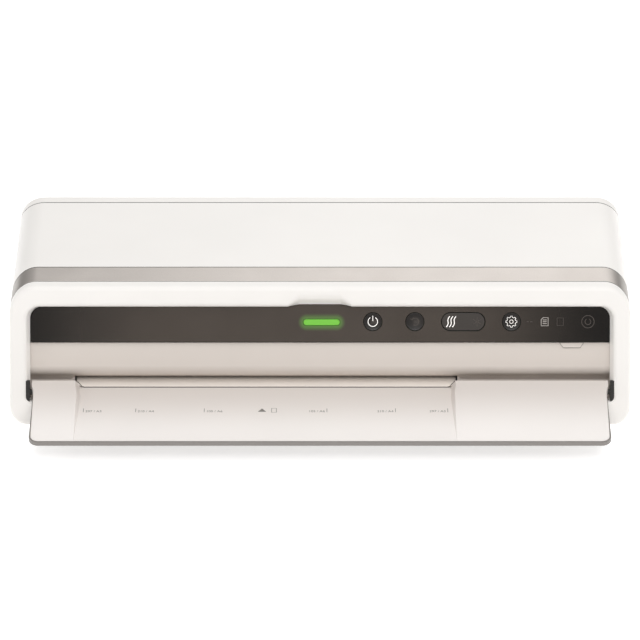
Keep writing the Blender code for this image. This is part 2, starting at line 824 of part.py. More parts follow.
def gear_outline(teeth, turn):
    """Straight-sided teeth with room at the flanks; turn is the angle of the first tooth."""
    pitch_round = GEAR_MODULE * teeth / 2
    step = 2 * math.pi / teeth
    corners = [
        (-0.30, pitch_round - 1.15 * GEAR_MODULE),
        (-0.12, pitch_round + 0.8 * GEAR_MODULE),
        (0.12, pitch_round + 0.8 * GEAR_MODULE),
        (0.30, pitch_round - 1.15 * GEAR_MODULE),
    ]
    points = []
    for tooth in range(teeth):
        for share, radius in corners:
            angle = turn + (tooth + share) * step
            points.append((radius * math.cos(angle), radius * math.sin(angle)))
    return points


def make_gear(name, teeth, half_step, bore, y, z, finish=ACETAL):
    turn = math.pi / teeth if half_step else 0
    loops = [gear_outline(teeth, turn), circle(0, 0, bore, 16)]
    return flat_plate(
        name, loops, 0, GEAR_WIDTH, finish, WHOLE, location=(GEAR_X, y, z), rotation=SIDEWAYS
    )


def make_roller(name, y, z, half_step):
    core = [
        (0, GEAR_X + GEAR_WIDTH + MM),
        (JOURNAL, GEAR_X + GEAR_WIDTH + MM),
        (JOURNAL, SLEEVE_RIGHT + 2 * MM),
        (CORE_ROUND, SLEEVE_RIGHT + 2 * MM),
        (CORE_ROUND, SLEEVE_LEFT - 2 * MM),
        (JOURNAL, SLEEVE_LEFT - 2 * MM),
        (JOURNAL, LEFT_PLATE_X - 8 * MM),
        (0, LEFT_PLATE_X - 8 * MM),
    ]
    turned(f"{name}_core", core, STEEL, WHOLE, 16, location=(0, y, z), rotation=SIDEWAYS)
    loops = [circle(0, 0, ROLLER_ROUND, 32), circle(0, 0, CORE_ROUND + GAP, 16)]
    flat_plate(
        f"{name}_sleeve",
        loops,
        SLEEVE_LEFT,
        SLEEVE_RIGHT,
        SILICONE,
        WHOLE,
        location=(0, y, z),
        rotation=SIDEWAYS,
    )
    make_gear(f"{name}_gear", ROLLER_TEETH, half_step, JOURNAL + GAP, y, z)


EXIT_Y = HOT_Y + PAIR_SPACING
IDLER_Y = HOT_Y + PAIR_SPACING / 2
UPPER_Z = NIP_HEIGHT + ROLLER_PITCH
LOWER_Z = NIP_HEIGHT - ROLLER_PITCH
PINION_Z = UPPER_Z + GEAR_MODULE * (IDLER_TEETH + PINION_TEETH) / 2
BLOCK_HALF = 8 * MM
BLOCK_LOW = LOWER_Z - 10 * MM
BLOCK_HIGH = UPPER_Z + 10 * MM
SPRING_ROOM = 12 * MM
PLATE_TOP = 76 * MM
TIE_Z = 66 * MM


def make_bearing_block(name, x, y):
    outline = rounded_rect(-BLOCK_HALF, BLOCK_LOW, BLOCK_HALF, BLOCK_HIGH, MM, MM, 2)
    holes = [circle(0, z, JOURNAL + GAP, 16) for z in (LOWER_Z, UPPER_Z)]
    flat_plate(
        name,
        [outline, *holes],
        x - 4 * MM,
        x + 4 * MM,
        ACETAL,
        WHOLE,
        location=(0, y, 0),
        rotation=SIDEWAYS,
    )


def make_side_plate(name, x):
    clear = 0.4 * MM
    outline = rounded_rect(56 * MM, 7 * MM, 172 * MM, PLATE_TOP, 3 * MM, 12 * MM)
    holes = []
    for y, room in ((HOT_Y, SPRING_ROOM), (EXIT_Y, 0)):
        low = BLOCK_LOW - clear
        high = BLOCK_HIGH + clear + room
        holes.append(
            rounded_rect(y - BLOCK_HALF - clear, low, y + BLOCK_HALF + clear, high, MM, MM, 2)
        )
    flat_plate(name, [outline, *holes], x - PLATE / 2, x + PLATE / 2, STEEL, WHOLE, rotation=SIDEWAYS)


def make_spring(name, x):
    """A pressure spring that stands on a bearing block."""
    turns = 4
    per_turn = 10
    wire = 0.6 * MM
    coil = 4 * MM
    low = BLOCK_HIGH + wire + GAP
    rise = SPRING_ROOM - 2 * wire - GAP
    curve = bpy.data.curves.new(name, "CURVE")
    curve.dimensions = "3D"
    curve.bevel_depth = wire
    curve.bevel_resolution = 1
    curve.use_fill_caps = True
    count = turns * per_turn + 1
    spline = curve.splines.new("POLY")
    spline.points.add(count - 1)
    for index, point in enumerate(spline.points):
        angle = 2 * math.pi * index / per_turn
        height = low + rise * index / (count - 1)
        point.co = (coil * math.cos(angle), coil * math.sin(angle), height, 1)
    obj = bpy.data.objects.new(name, curve)
    curve.materials.append(STEEL)
    obj.location = (x, HOT_Y, 0)
    obj.parent = WHOLE
    PARTS.objects.link(obj)


def make_rollers():
    for pair, y in (("hot", HOT_Y), ("exit", EXIT_Y)):
        make_roller(f"{pair}_roller_upper", y, UPPER_Z, True)
        make_roller(f"{pair}_roller_lower", y, LOWER_Z, False)
        make_bearing_block(f"{pair}_bearing_left", LEFT_PLATE_X, y)
        make_bearing_block(f"{pair}_bearing_right", RIGHT_PLATE_X, y)
    make_spring("pressure_spring_left", LEFT_PLATE_X)
    make_spring("pressure_spring_right", RIGHT_PLATE_X)
    make_side_plate("left_side_plate", LEFT_PLATE_X)
    make_side_plate("right_side_plate", RIGHT_PLATE_X)
    near = PLATE / 2 + GAP
    for name, y in (("front_tie_rod", 64 * MM), ("rear_tie_rod", 164 * MM)):
        rod = [
            (0, RIGHT_PLATE_X - near),
            (3 * MM, RIGHT_PLATE_X - near),
            (3 * MM, LEFT_PLATE_X + near),
            (0, LEFT_PLATE_X + near),
        ]
        turned(name, rod, STEEL, WHOLE, 12, location=(0, y, TIE_Z), rotation=SIDEWAYS)


def make_heat_shield():
    sheet = 0.8 * MM
    low = 48 * MM
    high = 61 * MM
    reach = 16 * MM
    outline = [
        (HOT_Y - reach, low),
        (HOT_Y - reach + sheet, low),
        (HOT_Y - reach + sheet, high - sheet),
        (HOT_Y + reach - sheet, high - sheet),
        (HOT_Y + reach - sheet, low),
        (HOT_Y + reach, low),
        (HOT_Y + reach, high),
        (HOT_Y - reach, high),
    ]
    flat_plate(
        "heat_shield",
        [outline],
        LEFT_PLATE_X + 6 * MM,
        RIGHT_PLATE_X - 6 * MM,
        ALUMINIUM,
        WHOLE,
        rotation=SIDEWAYS,
    )
    cutout = [(0, high + 7 * MM), (7 * MM, high + 7 * MM), (7 * MM, high + GAP), (0, high + GAP)]
    turned("thermal_cutout", cutout, DARK, WHOLE, 16, location=(-20 * MM, HOT_Y, 0))


def make_drive():
    make_gear("idler_gear", IDLER_TEETH, False, 4.3 * MM, IDLER_Y, UPPER_Z)
    pin = [
        (0, BRACKET_X - GAP),
        (4 * MM, BRACKET_X - GAP),
        (4 * MM, RIGHT_PLATE_X + PLATE / 2 + GAP),
        (0, RIGHT_PLATE_X + PLATE / 2 + GAP),
    ]
    turned("idler_pin", pin, STEEL, WHOLE, 12, location=(0, IDLER_Y, UPPER_Z), rotation=SIDEWAYS)
    pinion = make_gear("motor_pinion", PINION_TEETH, True, 1.5 * MM, IDLER_Y, PINION_Z, STEEL)
    shaft = turned(
        "pinion_shaft",
        [(0, 30 * MM), (2.5 * MM, 30 * MM), (2.5 * MM, 0.5 * MM), (0, 0.5 * MM)],
        None,
        WHOLE,
        12,
        location=(GEAR_X, IDLER_Y, PINION_Z),
        rotation=SIDEWAYS,
    )
    join(pinion, shaft)
    bracket = rounded_rect(IDLER_Y - 28 * MM, 7 * MM, IDLER_Y + 28 * MM, 94 * MM, 3 * MM, 6 * MM)
    hole = circle(IDLER_Y, PINION_Z, 4 * MM, 16)
    flat_plate(
        "motor_bracket", [bracket, hole], BRACKET_X, BRACKET_X + PLATE, STEEL, WHOLE, rotation=SIDEWAYS
    )
    near = BRACKET_X + PLATE + GAP
    casing = [
        (2.9 * MM, near + 46 * MM),
        (15 * MM, near + 46 * MM),
        (17 * MM, near + 44 * MM),
        (17 * MM, near),
        (2.9 * MM, near),
    ]
    turned("drive_motor", casing, STEEL, WHOLE, 24, location=(0, IDLER_Y, PINION_Z), rotation=SIDEWAYS)


def make_electrics():
    board = box("main_board", (150 * MM, 84 * MM, 12 * MM), (250 * MM, 190 * MM, 13.6 * MM), BOARD, WHOLE)
    blocks = (
        ("board_transformer", (158, 92, 13), (190, 122, 38)),
        ("board_capacitor", (200, 96, 13), (214, 110, 34)),
        ("board_relay", (222, 96, 13), (240, 110, 28)),
        ("board_heatsink", (160, 140, 13), (200, 144, 36)),
    )
    for name, low, high in blocks:
        block = box(name, [v * MM for v in low], [v * MM for v in high], None, WHOLE, MM)
        join(board, block)
    inlet = box(
        "power_inlet",
        (INLET_X - 10.6 * MM, BASE_DEPTH - 19 * MM, 8.6 * MM),
        (INLET_X + 10.6 * MM, BASE_DEPTH - 1.9 * MM, 21.4 * MM),
        DARK,
        WHOLE,
    )
    socket = flat_plate(
        "inlet_socket_cutter",
        [pill(0, 0, 14 * MM, 8 * MM, 6)],
        -13 * MM,
        MM,
        None,
        WHOLE,
        location=(INLET_X, BASE_DEPTH - 1.9 * MM, 15 * MM),
        rotation=(-math.pi / 2, 0, 0),
    )
    cut(inlet, socket)


make_housing()
make_feet()
make_panel()
make_keys()
make_fascia()
make_front_tray()
make_tray_bushes()
make_rear_tray()
make_rear_fascia()
make_entry_guides()
make_rollers()
make_heat_shield()
make_drive()
make_electrics()
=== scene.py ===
import json
import math

import bmesh
import bpy
from mathutils import Matrix, Vector


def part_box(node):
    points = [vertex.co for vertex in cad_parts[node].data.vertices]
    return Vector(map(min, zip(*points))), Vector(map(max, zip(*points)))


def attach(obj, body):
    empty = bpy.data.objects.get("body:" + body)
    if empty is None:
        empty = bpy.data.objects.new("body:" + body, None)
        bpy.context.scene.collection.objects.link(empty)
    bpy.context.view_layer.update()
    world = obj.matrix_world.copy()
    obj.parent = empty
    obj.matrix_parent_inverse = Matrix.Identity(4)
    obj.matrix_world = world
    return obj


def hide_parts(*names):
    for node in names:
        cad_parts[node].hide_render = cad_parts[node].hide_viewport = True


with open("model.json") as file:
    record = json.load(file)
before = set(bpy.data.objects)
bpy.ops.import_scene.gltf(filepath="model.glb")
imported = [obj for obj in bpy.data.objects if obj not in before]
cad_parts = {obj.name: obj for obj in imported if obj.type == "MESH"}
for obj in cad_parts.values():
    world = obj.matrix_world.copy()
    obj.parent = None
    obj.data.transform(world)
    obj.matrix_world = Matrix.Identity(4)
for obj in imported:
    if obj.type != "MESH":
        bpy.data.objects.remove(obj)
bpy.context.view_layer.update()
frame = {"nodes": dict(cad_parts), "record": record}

# Sizes of the laminator, the same ones that its frame was made from.
MM = 0.001
HALF_WIDTH = 259.5 * MM
FOOT_HEIGHT = 4 * MM
TOP = 107.4 * MM
BASE_DEPTH = 225 * MM
CENTRE_Y = 85.2227 * MM
WALL = 2.5 * MM
SEAM = 0.3 * MM
TOP_ROUND = 22 * MM
BASE_ROUND = 14 * MM
FACE_LEAN = math.radians(27)
REAR_LEAN = math.radians(7.7)
FRONT_DEPTH = 10 * MM
BAND_DEPTH = 24 * MM
REAR_DEPTH = 11 * MM
PARTING = 24 * MM
OPENING_HALF = 244.6 * MM
OPENING_LOW = 21.5 * MM
OPENING_HIGH = 99.8 * MM
OPENING_ROUND = 10 * MM
CHAMFER = 3.8 * MM
RECESS = 8 * MM
PANEL_HALF = 242.3 * MM
PANEL_LOW = 69.9 * MM
PANEL_THICKNESS = 2.5 * MM
KEY_LINE = 86.9 * MM
KEY_ROUND = 7.5 * MM
POWER_AT = 44.2 * MM
REVERSE_AT = 79.4 * MM
TEMPERATURE_AT = 119.9 * MM
TEMPERATURE_LENGTH = 36.3 * MM
SETTINGS_AT = 160.2 * MM
LIGHT_AT = 1.4 * MM
TAB_AT = 210.7 * MM
SLOT_LEFT = -203.4 * MM
SLOT_RIGHT = 112.9 * MM
HINGE_UP = 28.4 * MM
HINGE_IN = 4 * MM
TRAY_OPEN = math.radians(121.5)
TRAY_HALF = 240.3 * MM
TRAY_REAR = -6.3 * MM
TRAY_END = 71.2 * MM
TRAY_ROUND = 8 * MM
FLOOR = -0.4 * MM
SHOULDER = -8 * MM
SKIN = 1.2 * MM
RIM = 1.2 * MM
REAR_HALF = 226 * MM
REAR_LOW = 22.5 * MM
REAR_HIGH = 96.5 * MM
REAR_HINGE_UP = 26.4 * MM
REAR_HINGE_IN = 3 * MM
REAR_TRAY_THICKNESS = 3.5 * MM
REAR_TRAY_CLEAR = 1.1 * MM
REAR_TRAY_FOOT = 1.6 * MM
SKIN_REAR = -5.2 * MM


# Places: each of these turns a place on a leaning plane into the row frame.


def face_plane(offset):
    return lambda z: (z - FOOT_HEIGHT) * math.tan(FACE_LEAN) + offset - CENTRE_Y


def rear_plane(offset):
    return lambda z: BASE_DEPTH - (z - FOOT_HEIGHT) * math.tan(REAR_LEAN) - offset - CENTRE_Y


def turned_frame(origin, angle, half_turn=0.0):
    return Matrix.Translation(origin) @ Matrix.Rotation(half_turn, 4, "Z") @ Matrix.Rotation(angle, 4, "X")


FACE_TURN = math.pi / 2 - FACE_LEAN
FACE = turned_frame((0, -CENTRE_Y, FOOT_HEIGHT), FACE_TURN)
REAR = turned_frame((0, BASE_DEPTH - CENTRE_Y, FOOT_HEIGHT), math.pi / 2 - REAR_LEAN, math.pi)
HINGE_PLACE = FACE @ Vector((0, HINGE_UP, -HINGE_IN))
TRAY = turned_frame(HINGE_PLACE, FACE_TURN + TRAY_OPEN)
REAR_TRAY = turned_frame(REAR @ Vector((0, REAR_HINGE_UP, -REAR_HINGE_IN)), math.pi / 2 - REAR_LEAN, math.pi)


# Materials.


def display(red, green, blue):
    """A colour given as it looks on a display, 0 to 255, as the linear colour that a shader takes."""
    return (*(((value / 255 + 0.055) / 1.055) ** 2.4 for value in (red, green, blue)), 1.0)


class Finish:
    """A Principled material whose texture nodes read object coordinates, which here are metres."""

    def __init__(self, name, colour, roughness, **sockets):
        self.material = bpy.data.materials.new(name)
        self.material.use_nodes = True
        self.tree = self.material.node_tree
        self.shader = self.tree.nodes["Principled BSDF"]
        self.place = self.tree.nodes.new("ShaderNodeTexCoord").outputs["Object"]
        self.set(base_color=colour, roughness=roughness, **sockets)

    def set(self, **sockets):
        for key, value in sockets.items():
            self.shader.inputs[key.replace("_", " ").title().replace("Ior", "IOR")].default_value = value

    def node(self, kind, **settings):
        node = self.tree.nodes.new(kind)
        for key, value in settings.items():
            setattr(node, key, value)
        return node

    def noise(self, scale, detail=2.0, stretch=(1, 1, 1)):
        mapping = self.node("ShaderNodeMapping")
        mapping.inputs["Scale"].default_value = stretch
        self.tree.links.new(self.place, mapping.inputs["Vector"])
        noise = self.node("ShaderNodeTexNoise")
        noise.inputs["Scale"].default_value = scale
        noise.inputs["Detail"].default_value = detail
        self.tree.links.new(mapping.outputs["Vector"], noise.inputs["Vector"])
        return noise.outputs["Fac"]

    def spread(self, source, low, high):
        """The source's 0.3 to 0.7 spread over low to high."""
        scale = self.node("ShaderNodeMapRange")
        for key, value in (("From Min", 0.3), ("From Max", 0.7), ("To Min", low), ("To Max", high)):
            scale.inputs[key].default_value = value
        self.tree.links.new(source, scale.inputs["Value"])
        return scale.outputs["Result"]

    def tint(self, source, colour_a, colour_b):
        mix = self.node("ShaderNodeMix", data_type="RGBA")
        mix.inputs["A"].default_value = colour_a
        mix.inputs["B"].default_value = colour_b
        self.tree.links.new(self.spread(source, 0, 1), mix.inputs["Factor"])
        self.tree.links.new(mix.outputs["Result"], self.shader.inputs["Base Color"])
        return mix

    def vary_roughness(self, source, low, high):
        self.tree.links.new(self.spread(source, low, high), self.shader.inputs["Roughness"])

    def bump(self, source, depth):
        bump = self.node("ShaderNodeBump")
        bump.inputs["Strength"].default_value = 1.0
        bump.inputs["Distance"].default_value = depth
        self.tree.links.new(source, bump.inputs["Height"])
        self.tree.links.new(bump.outputs["Normal"], self.shader.inputs["Normal"])


def shade(colour, factor):
    return (*(channel * factor for channel in colour[:3]), 1.0)


def moulded(name, colour, roughness, grain=1400.0, depth=0.006 * MM, mottle=0.03, **sockets):
    """Moulded plastic: a fine even grain, and a faint slow change of tone and gloss."""
    finish = Finish(name, colour, roughness, **sockets)
    slow = finish.noise(9.0, 3.0)
    finish.tint(slow, shade(colour, 1 - mottle), colour)
    finish.vary_roughness(finish.noise(60.0, 3.0), roughness * 0.92, roughness * 1.08)
    finish.bump(finish.noise(grain, 3.0), depth)
    return finish


def metal(name, colour, roughness, stretch, depth=0.004 * MM):
    """Metal with fine lines along one direction."""
    finish = Finish(name, colour, roughness, metallic=1.0)
    lines = finish.noise(900.0, 4.0, stretch)
    finish.tint(lines, shade(colour, 0.86), colour)
    finish.vary_roughness(lines, roughness * 0.8, roughness * 1.25)
    finish.bump(lines, depth)
    return finish


def glowing(name, colour, strength):
    finish = Finish(name, colour, 0.35)
    finish.set(emission_color=colour, emission_strength=strength)
    finish.bump(finish.noise(900.0), 0.002 * MM)
    return finish.material


def paint_shaded_ends(finish, dark, start, end):
    """Paints shade: takes the base colour towards dark as a point goes sideways from start to end."""
    base = finish.shader.inputs["Base Color"]
    split = finish.node("ShaderNodeSeparateXYZ")
    finish.tree.links.new(finish.place, split.inputs["Vector"])
    sideways = finish.node("ShaderNodeMath", operation="ABSOLUTE")
    finish.tree.links.new(split.outputs["X"], sideways.inputs[0])
    share = finish.node("ShaderNodeMapRange", interpolation_type="SMOOTHSTEP")
    for key, value in (("From Min", start), ("From Max", end)):
        share.inputs[key].default_value = value
    finish.tree.links.new(sideways.outputs["Value"], share.inputs["Value"])
    mix = finish.node("ShaderNodeMix", data_type="RGBA")
    if base.is_linked:
        finish.tree.links.new(base.links[0].from_socket, mix.inputs["A"])
    else:
        mix.inputs["A"].default_value = base.default_value
    mix.inputs["B"].default_value = dark
    finish.tree.links.new(share.outputs["Result"], mix.inputs["Factor"])
    finish.tree.links.new(mix.outputs["Result"], base)


def champagne_band():
    """Satin metallic paint: flakes too small to count, over a champagne base."""
    colour = display(236, 228, 221)
    finish = Finish("champagne_band", colour, 0.34, metallic=0.9)
    flakes = finish.noise(2600.0, 1.0)
    finish.tint(flakes, shade(colour, 0.9), colour)
    finish.vary_roughness(finish.noise(40.0, 3.0), 0.30, 0.38)
    finish.bump(flakes, 0.002 * MM)
    # Painted shade: the band's sides darken, standing in for the dark surroundings they reflect.
    paint_shaded_ends(finish, display(150, 145, 139), 236 * MM, HALF_WIDTH)
    return finish.material


def gloss_panel():
    """Black gloss panel: a clear coat over a warm black, with a soft green spill round the light."""
    finish = Finish("gloss_black_panel", display(50, 43, 37), 0.16, coat_weight=0.2, coat_roughness=0.1)
    finish.set(specular_ior_level=0.25)
    finish.vary_roughness(finish.noise(25.0, 4.0), 0.13, 0.19)
    split = finish.node("ShaderNodeSeparateXYZ")
    finish.tree.links.new(finish.place, split.inputs["Vector"])
    centre = FACE @ Vector((LIGHT_AT, KEY_LINE - 0.5 * MM, -RECESS))

    def sums(operation, first, second):
        node = finish.node("ShaderNodeMath", operation=operation)
        for socket, value in zip(node.inputs, (first, second)):
            if isinstance(value, float):
                socket.default_value = value
            else:
                finish.tree.links.new(value, socket)
        return node.outputs["Value"]

    along = sums("ABSOLUTE", sums("SUBTRACT", split.outputs["X"], LIGHT_AT), 0.0)
    past_end = sums("MAXIMUM", sums("SUBTRACT", along, 12.5 * MM), 0.0)
    up = sums("DIVIDE", sums("SUBTRACT", split.outputs["Z"], centre.z), math.cos(FACE_LEAN))
    distance = sums("SQRT", sums("ADD", sums("POWER", past_end, 2.0), sums("POWER", up, 2.0)), 0.0)
    glow = finish.node("ShaderNodeMapRange", interpolation_type="SMOOTHERSTEP")
    for key, value in (("From Min", 2 * MM), ("From Max", 8.5 * MM), ("To Min", 0.30), ("To Max", 0.0)):
        glow.inputs[key].default_value = value
    finish.tree.links.new(distance, glow.inputs["Value"])
    finish.set(emission_color=display(105, 190, 60))
    finish.tree.links.new(glow.outputs["Result"], finish.shader.inputs["Emission Strength"])
    # Painted shade: the panel's ends darken, standing in for the dimmer reflections there.
    paint_shaded_ends(finish, display(14, 12, 10), 120 * MM, PANEL_HALF)
    return finish.material


def tray_white_painted_shade():
    """The tray's satin white, with painted shade and painted reflection: darker and beiger towards its
    hinge, for the body's shadow and the fascia's reflection there.
    """
    finish = moulded("tray_white_painted_shade", display(246, 241, 237), 0.4, grain=1800.0)
    slow = finish.shader.inputs["Base Color"].links[0].from_socket
    split = finish.node("ShaderNodeSeparateXYZ")
    finish.tree.links.new(finish.place, split.inputs["Vector"])
    along = finish.node("ShaderNodeMapRange", interpolation_type="SMOOTHSTEP")
    hinge = HINGE_PLACE.y
    for key, value in (("From Min", hinge), ("From Max", hinge - 62 * MM), ("To Min", 1), ("To Max", 0)):
        along.inputs[key].default_value = value
    finish.tree.links.new(split.outputs["Y"], along.inputs["Value"])
    # Painted shade and reflection: the colour darkens and turns beige towards the hinge.
    hinge_shade = finish.node("ShaderNodeMix", data_type="RGBA")
    hinge_shade.inputs["B"].default_value = display(219, 211, 205)
    finish.tree.links.new(along.outputs["Result"], hinge_shade.inputs["Factor"])
    finish.tree.links.new(slow, hinge_shade.inputs["A"])
    finish.tree.links.new(hinge_shade.outputs["Result"], finish.shader.inputs["Base Color"])
    return finish.material


WHITE = moulded("white_shell", display(247, 244, 240), 0.42, coat_weight=0.12, coat_roughness=0.2).material
TRAY_WHITE_PAINTED_SHADE = tray_white_painted_shade()
BEIGE = moulded("beige_fascia", display(222, 213, 205), 0.5, depth=0.008 * MM).material
GREY = moulded("grey_edge", display(134, 129, 125), 0.4).material
DARK = moulded("dark_plastic", display(38, 36, 34), 0.5).material
KEY_BLACK = moulded("key_black", display(27, 23, 20), 0.3, depth=0.002 * MM, coat_weight=0.3).material
RUBBER = moulded("rubber", display(42, 41, 40), 0.85, grain=700.0, depth=0.02 * MM).material
SILICONE = moulded("red_silicone", display(152, 66, 48), 0.6, grain=500.0, depth=0.01 * MM).material
ACETAL = moulded("white_acetal", display(226, 222, 212), 0.42, grain=900.0).material
BOARD_GREEN = display(34, 92, 56)
BOARD = moulded("circuit_board", BOARD_GREEN, 0.35, grain=350.0, depth=0.03 * MM, mottle=0.35).material
STEEL = metal("zinc_steel", display(176, 178, 180), 0.32, (0.05, 1, 1)).material
ALUMINIUM = metal("mill_aluminium", display(196, 196, 198), 0.36, (0.03, 1, 1)).material
PRINT = moulded("grey_print", display(128, 124, 119), 0.6).material
FAINT = moulded("faint_print", display(74, 67, 62), 0.5).material
BAND = champagne_band()
PANEL = gloss_panel()
# Painted light: the ramp's beige is lighter than the fascia's, for a strip in the fascia's shade.
PAINTED_LIT_RAMP = moulded("painted_lit_ramp", display(246, 238, 230), 0.5, depth=0.008 * MM).material
# Painted shadow: a dark colour for strips put in seams and gaps.
PAINTED_SEAM_SHADOW = moulded("seam_shadow", display(42, 39, 37), 0.8).material
GREEN = glowing("green_light", display(108, 184, 60), 0.26)
LIT = glowing("lit_white", display(235, 232, 228), 0.9)
HALF_LIT = glowing("half_lit", display(150, 145, 140), 0.35)


# Shapes.


def arc(centre_x, centre_y, radius, start, end, steps):
    angles = [math.radians(start + (end - start) * step / steps) for step in range(steps + 1)]
    return [(centre_x + radius * math.cos(a), centre_y + radius * math.sin(a)) for a in angles]


def pill(centre_x, centre_y, length, height, steps=14):
    radius = height / 2
    reach = length / 2 - radius
    right = arc(centre_x + reach, centre_y, radius, -90, 90, steps)
    return right + arc(centre_x - reach, centre_y, radius, 90, 270, steps)


def circle(centre_x, centre_y, radius, steps=48):
    return arc(centre_x, centre_y, radius, 0, 360, steps)[:-1]


def rounded(half_width, half_height, radius, steps=6):
    across = half_width - radius
    up = half_height - radius
    corners = ((across, up, 0), (-across, up, 90), (-across, -up, 180), (across, -up, 270))
    return [point for x, y, start in corners for point in arc(x, y, radius, start, start + 90, steps)]


def put(name, mesh, body, finish, slot, *nodes, sharp=32, weighted=True):
    """Adds a finished mesh, already in the row frame, hangs it on its body and hides the CAD nodes it stands
    for.
    """
    mesh.materials.append(finish)
    mesh.shade_smooth()
    mesh.set_sharp_from_angle(angle=math.radians(sharp))
    obj = bpy.data.objects.new(name, mesh)
    bpy.context.scene.collection.objects.link(obj)
    if weighted:
        modifier = obj.modifiers.new("flat_faces", "WEIGHTED_NORMAL")
        modifier.keep_sharp = True
        modifier.weight = 80
    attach(obj, body)
    if nodes:
        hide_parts(*nodes)
    return obj


def surface(name, rows, wrap_rows=False, wrap_columns=False, caps=False):
    """A closed mesh of quads between rows of matching points, with end caps where rows or columns stop."""
    bm = bmesh.new()
    grid = [[bm.verts.new(point) for point in row] for row in rows]
    row_pairs = list(zip(grid, grid[1:] + (grid[:1] if wrap_rows else [])))
    for low, high in row_pairs:
        count = len(low)
        for index in range(count if wrap_columns else count - 1):
            after = (index + 1) % count
            bm.faces.new((low[index], low[after], high[after], high[index]))
    if caps and wrap_rows:
        bm.faces.new([row[0] for row in grid])
        bm.faces.new([row[-1] for row in grid])
    elif caps:
        bm.faces.new(grid[0])
        bm.faces.new(grid[-1])
    bmesh.ops.recalc_face_normals(bm, faces=bm.faces)
    mesh = bpy.data.meshes.new(name)
    bm.to_mesh(mesh)
    bm.free()
    return mesh


def plate(name, loops, low, high, place, edge=0.25 * MM):
    """A plate with rounded edges, from an outline and its holes, in the plane of place."""
    curve = bpy.data.curves.new(name, "CURVE")
    curve.dimensions = "2D"
    curve.fill_mode = "BOTH"
    curve.extrude = (high - low) / 2 - edge
    curve.bevel_depth = edge
    curve.bevel_resolution = 2
    curve.offset = -edge
    for loop in loops:
        spline = curve.splines.new("POLY")
        spline.points.add(len(loop) - 1)
        for point, (x, y) in zip(spline.points, loop):
            point.co = (x, y, 0, 1)
        spline.use_cyclic_u = True
    outline = bpy.data.objects.new(name, curve)
    bpy.context.scene.collection.objects.link(outline)
    graph = bpy.context.evaluated_depsgraph_get()
    mesh = bpy.data.meshes.new_from_object(outline.evaluated_get(graph))
    bpy.data.objects.remove(outline, do_unlink=True)
    bpy.data.curves.remove(curve)
    bm = bmesh.new()
    bm.from_mesh(mesh)
    bmesh.ops.remove_doubles(bm, verts=bm.verts, dist=0.002 * MM)
    bmesh.ops.translate(bm, verts=bm.verts, vec=(0, 0, (low + high) / 2))
    bmesh.ops.transform(bm, matrix=place, verts=bm.verts)
    bmesh.ops.recalc_face_normals(bm, faces=bm.faces)
    bm.to_mesh(mesh)
    bm.free()
    mesh.name = name
    mesh.materials.clear()
    return mesh


def quarter(radius, steps=5):
    """Pairs that run round a quarter circle: (in from the side, back from the face)."""
    angles = [math.pi / 2 * step / steps for step in range(steps + 1)]
    return [(radius * (1 - math.cos(a)), radius * (1 - math.sin(a))) for a in angles]


SCOOP_HALF = 26.5 * MM
SCOOP_FLAT = 17.3 * MM
SCOOP_XS = [x * MM for x in (60, 36, 29, 27.5, 26.5, 25.5, 22, 19, 17.8, 17.3, 16.5, 12, 5)]
TOP_XS = SCOOP_XS + [-x for x in reversed(SCOOP_XS)]


def scoop_share(x):
    """0 away from a finger scoop and 1 across its flat middle."""
    share = (SCOOP_HALF - abs(x)) / (SCOOP_HALF - SCOOP_FLAT)
    return min(1.0, max(0.0, share))


def frame_outline(half, low, high, low_round, high_round, lift=0.0, steps=12):
    """A rounded rectangle whose top edge rises by lift across the finger scoop."""
    return [
        *arc(-half + low_round, low + low_round, low_round, 180, 270, steps),
        *arc(half - low_round, low + low_round, low_round, 270, 360, steps),
        *arc(half - high_round, high - high_round, high_round, 0, 90, steps),
        *[(x, high + lift * scoop_share(x)) for x in TOP_XS],
        *arc(-half + high_round, high - high_round, high_round, 90, 180, steps),
    ]


def housing_ring(inset, plane):
    outline = frame_outline(
        HALF_WIDTH - inset, FOOT_HEIGHT + inset, TOP - inset, BASE_ROUND - inset, TOP_ROUND - inset
    )
    return [Vector((x, plane(z), z)) for x, z in outline]


def opening_ring(place, half, low, high, low_round, high_round, inward, lift):
    outline = frame_outline(half, low, high, low_round, high_round, lift)
    return [place @ Vector((x, y, -inward)) for x, y in outline]


def make_front_bezel():
    """The leaning front frame: a soft outer edge, a flat face, a soft step into the opening."""
    edge = 3.2 * MM
    rings = [
        housing_ring(0.3 * MM, face_plane(FRONT_DEPTH)),
        housing_ring(0, face_plane(FRONT_DEPTH - 0.3 * MM)),
    ]
    rings += [housing_ring(inset, face_plane(depth)) for inset, depth in quarter(edge, 7)]
    for depth, grow in quarter(CHAMFER, 7):
        lift = 7.2 * MM - 0.65 * depth
        rings.append(
            opening_ring(
                FACE,
                OPENING_HALF + grow,
                OPENING_LOW - grow,
                OPENING_HIGH + grow,
                3 * MM + grow,
                OPENING_ROUND + grow,
                depth,
                lift,
            )
        )
    inner = (PANEL_HALF + 0.35 * MM, OPENING_LOW, OPENING_HIGH, 3 * MM, OPENING_ROUND)
    rings.append(opening_ring(FACE, *inner, RECESS - 0.2 * MM, 1.8 * MM))
    rings.append(opening_ring(FACE, *inner, 8.8 * MM, 1.8 * MM))
    mesh = surface("front_bezel_shell", rings, wrap_rows=True, wrap_columns=True)
    put("front_bezel_shell", mesh, "housing", WHITE, "white_shell", "front_bezel")


def carve(obj, cutter):
    """Takes a closed cutter mesh away from an object for good."""
    tool = bpy.data.objects.new("cutter", cutter)
    bpy.context.scene.collection.objects.link(tool)
    hole = obj.modifiers.new("cut", "BOOLEAN")
    hole.object = tool
    obj.modifiers.move(len(obj.modifiers) - 1, 0)
    bpy.context.view_layer.objects.active = obj
    bpy.ops.object.modifier_apply(modifier="cut")
    bpy.data.objects.remove(tool, do_unlink=True)
    bpy.data.meshes.remove(cutter)


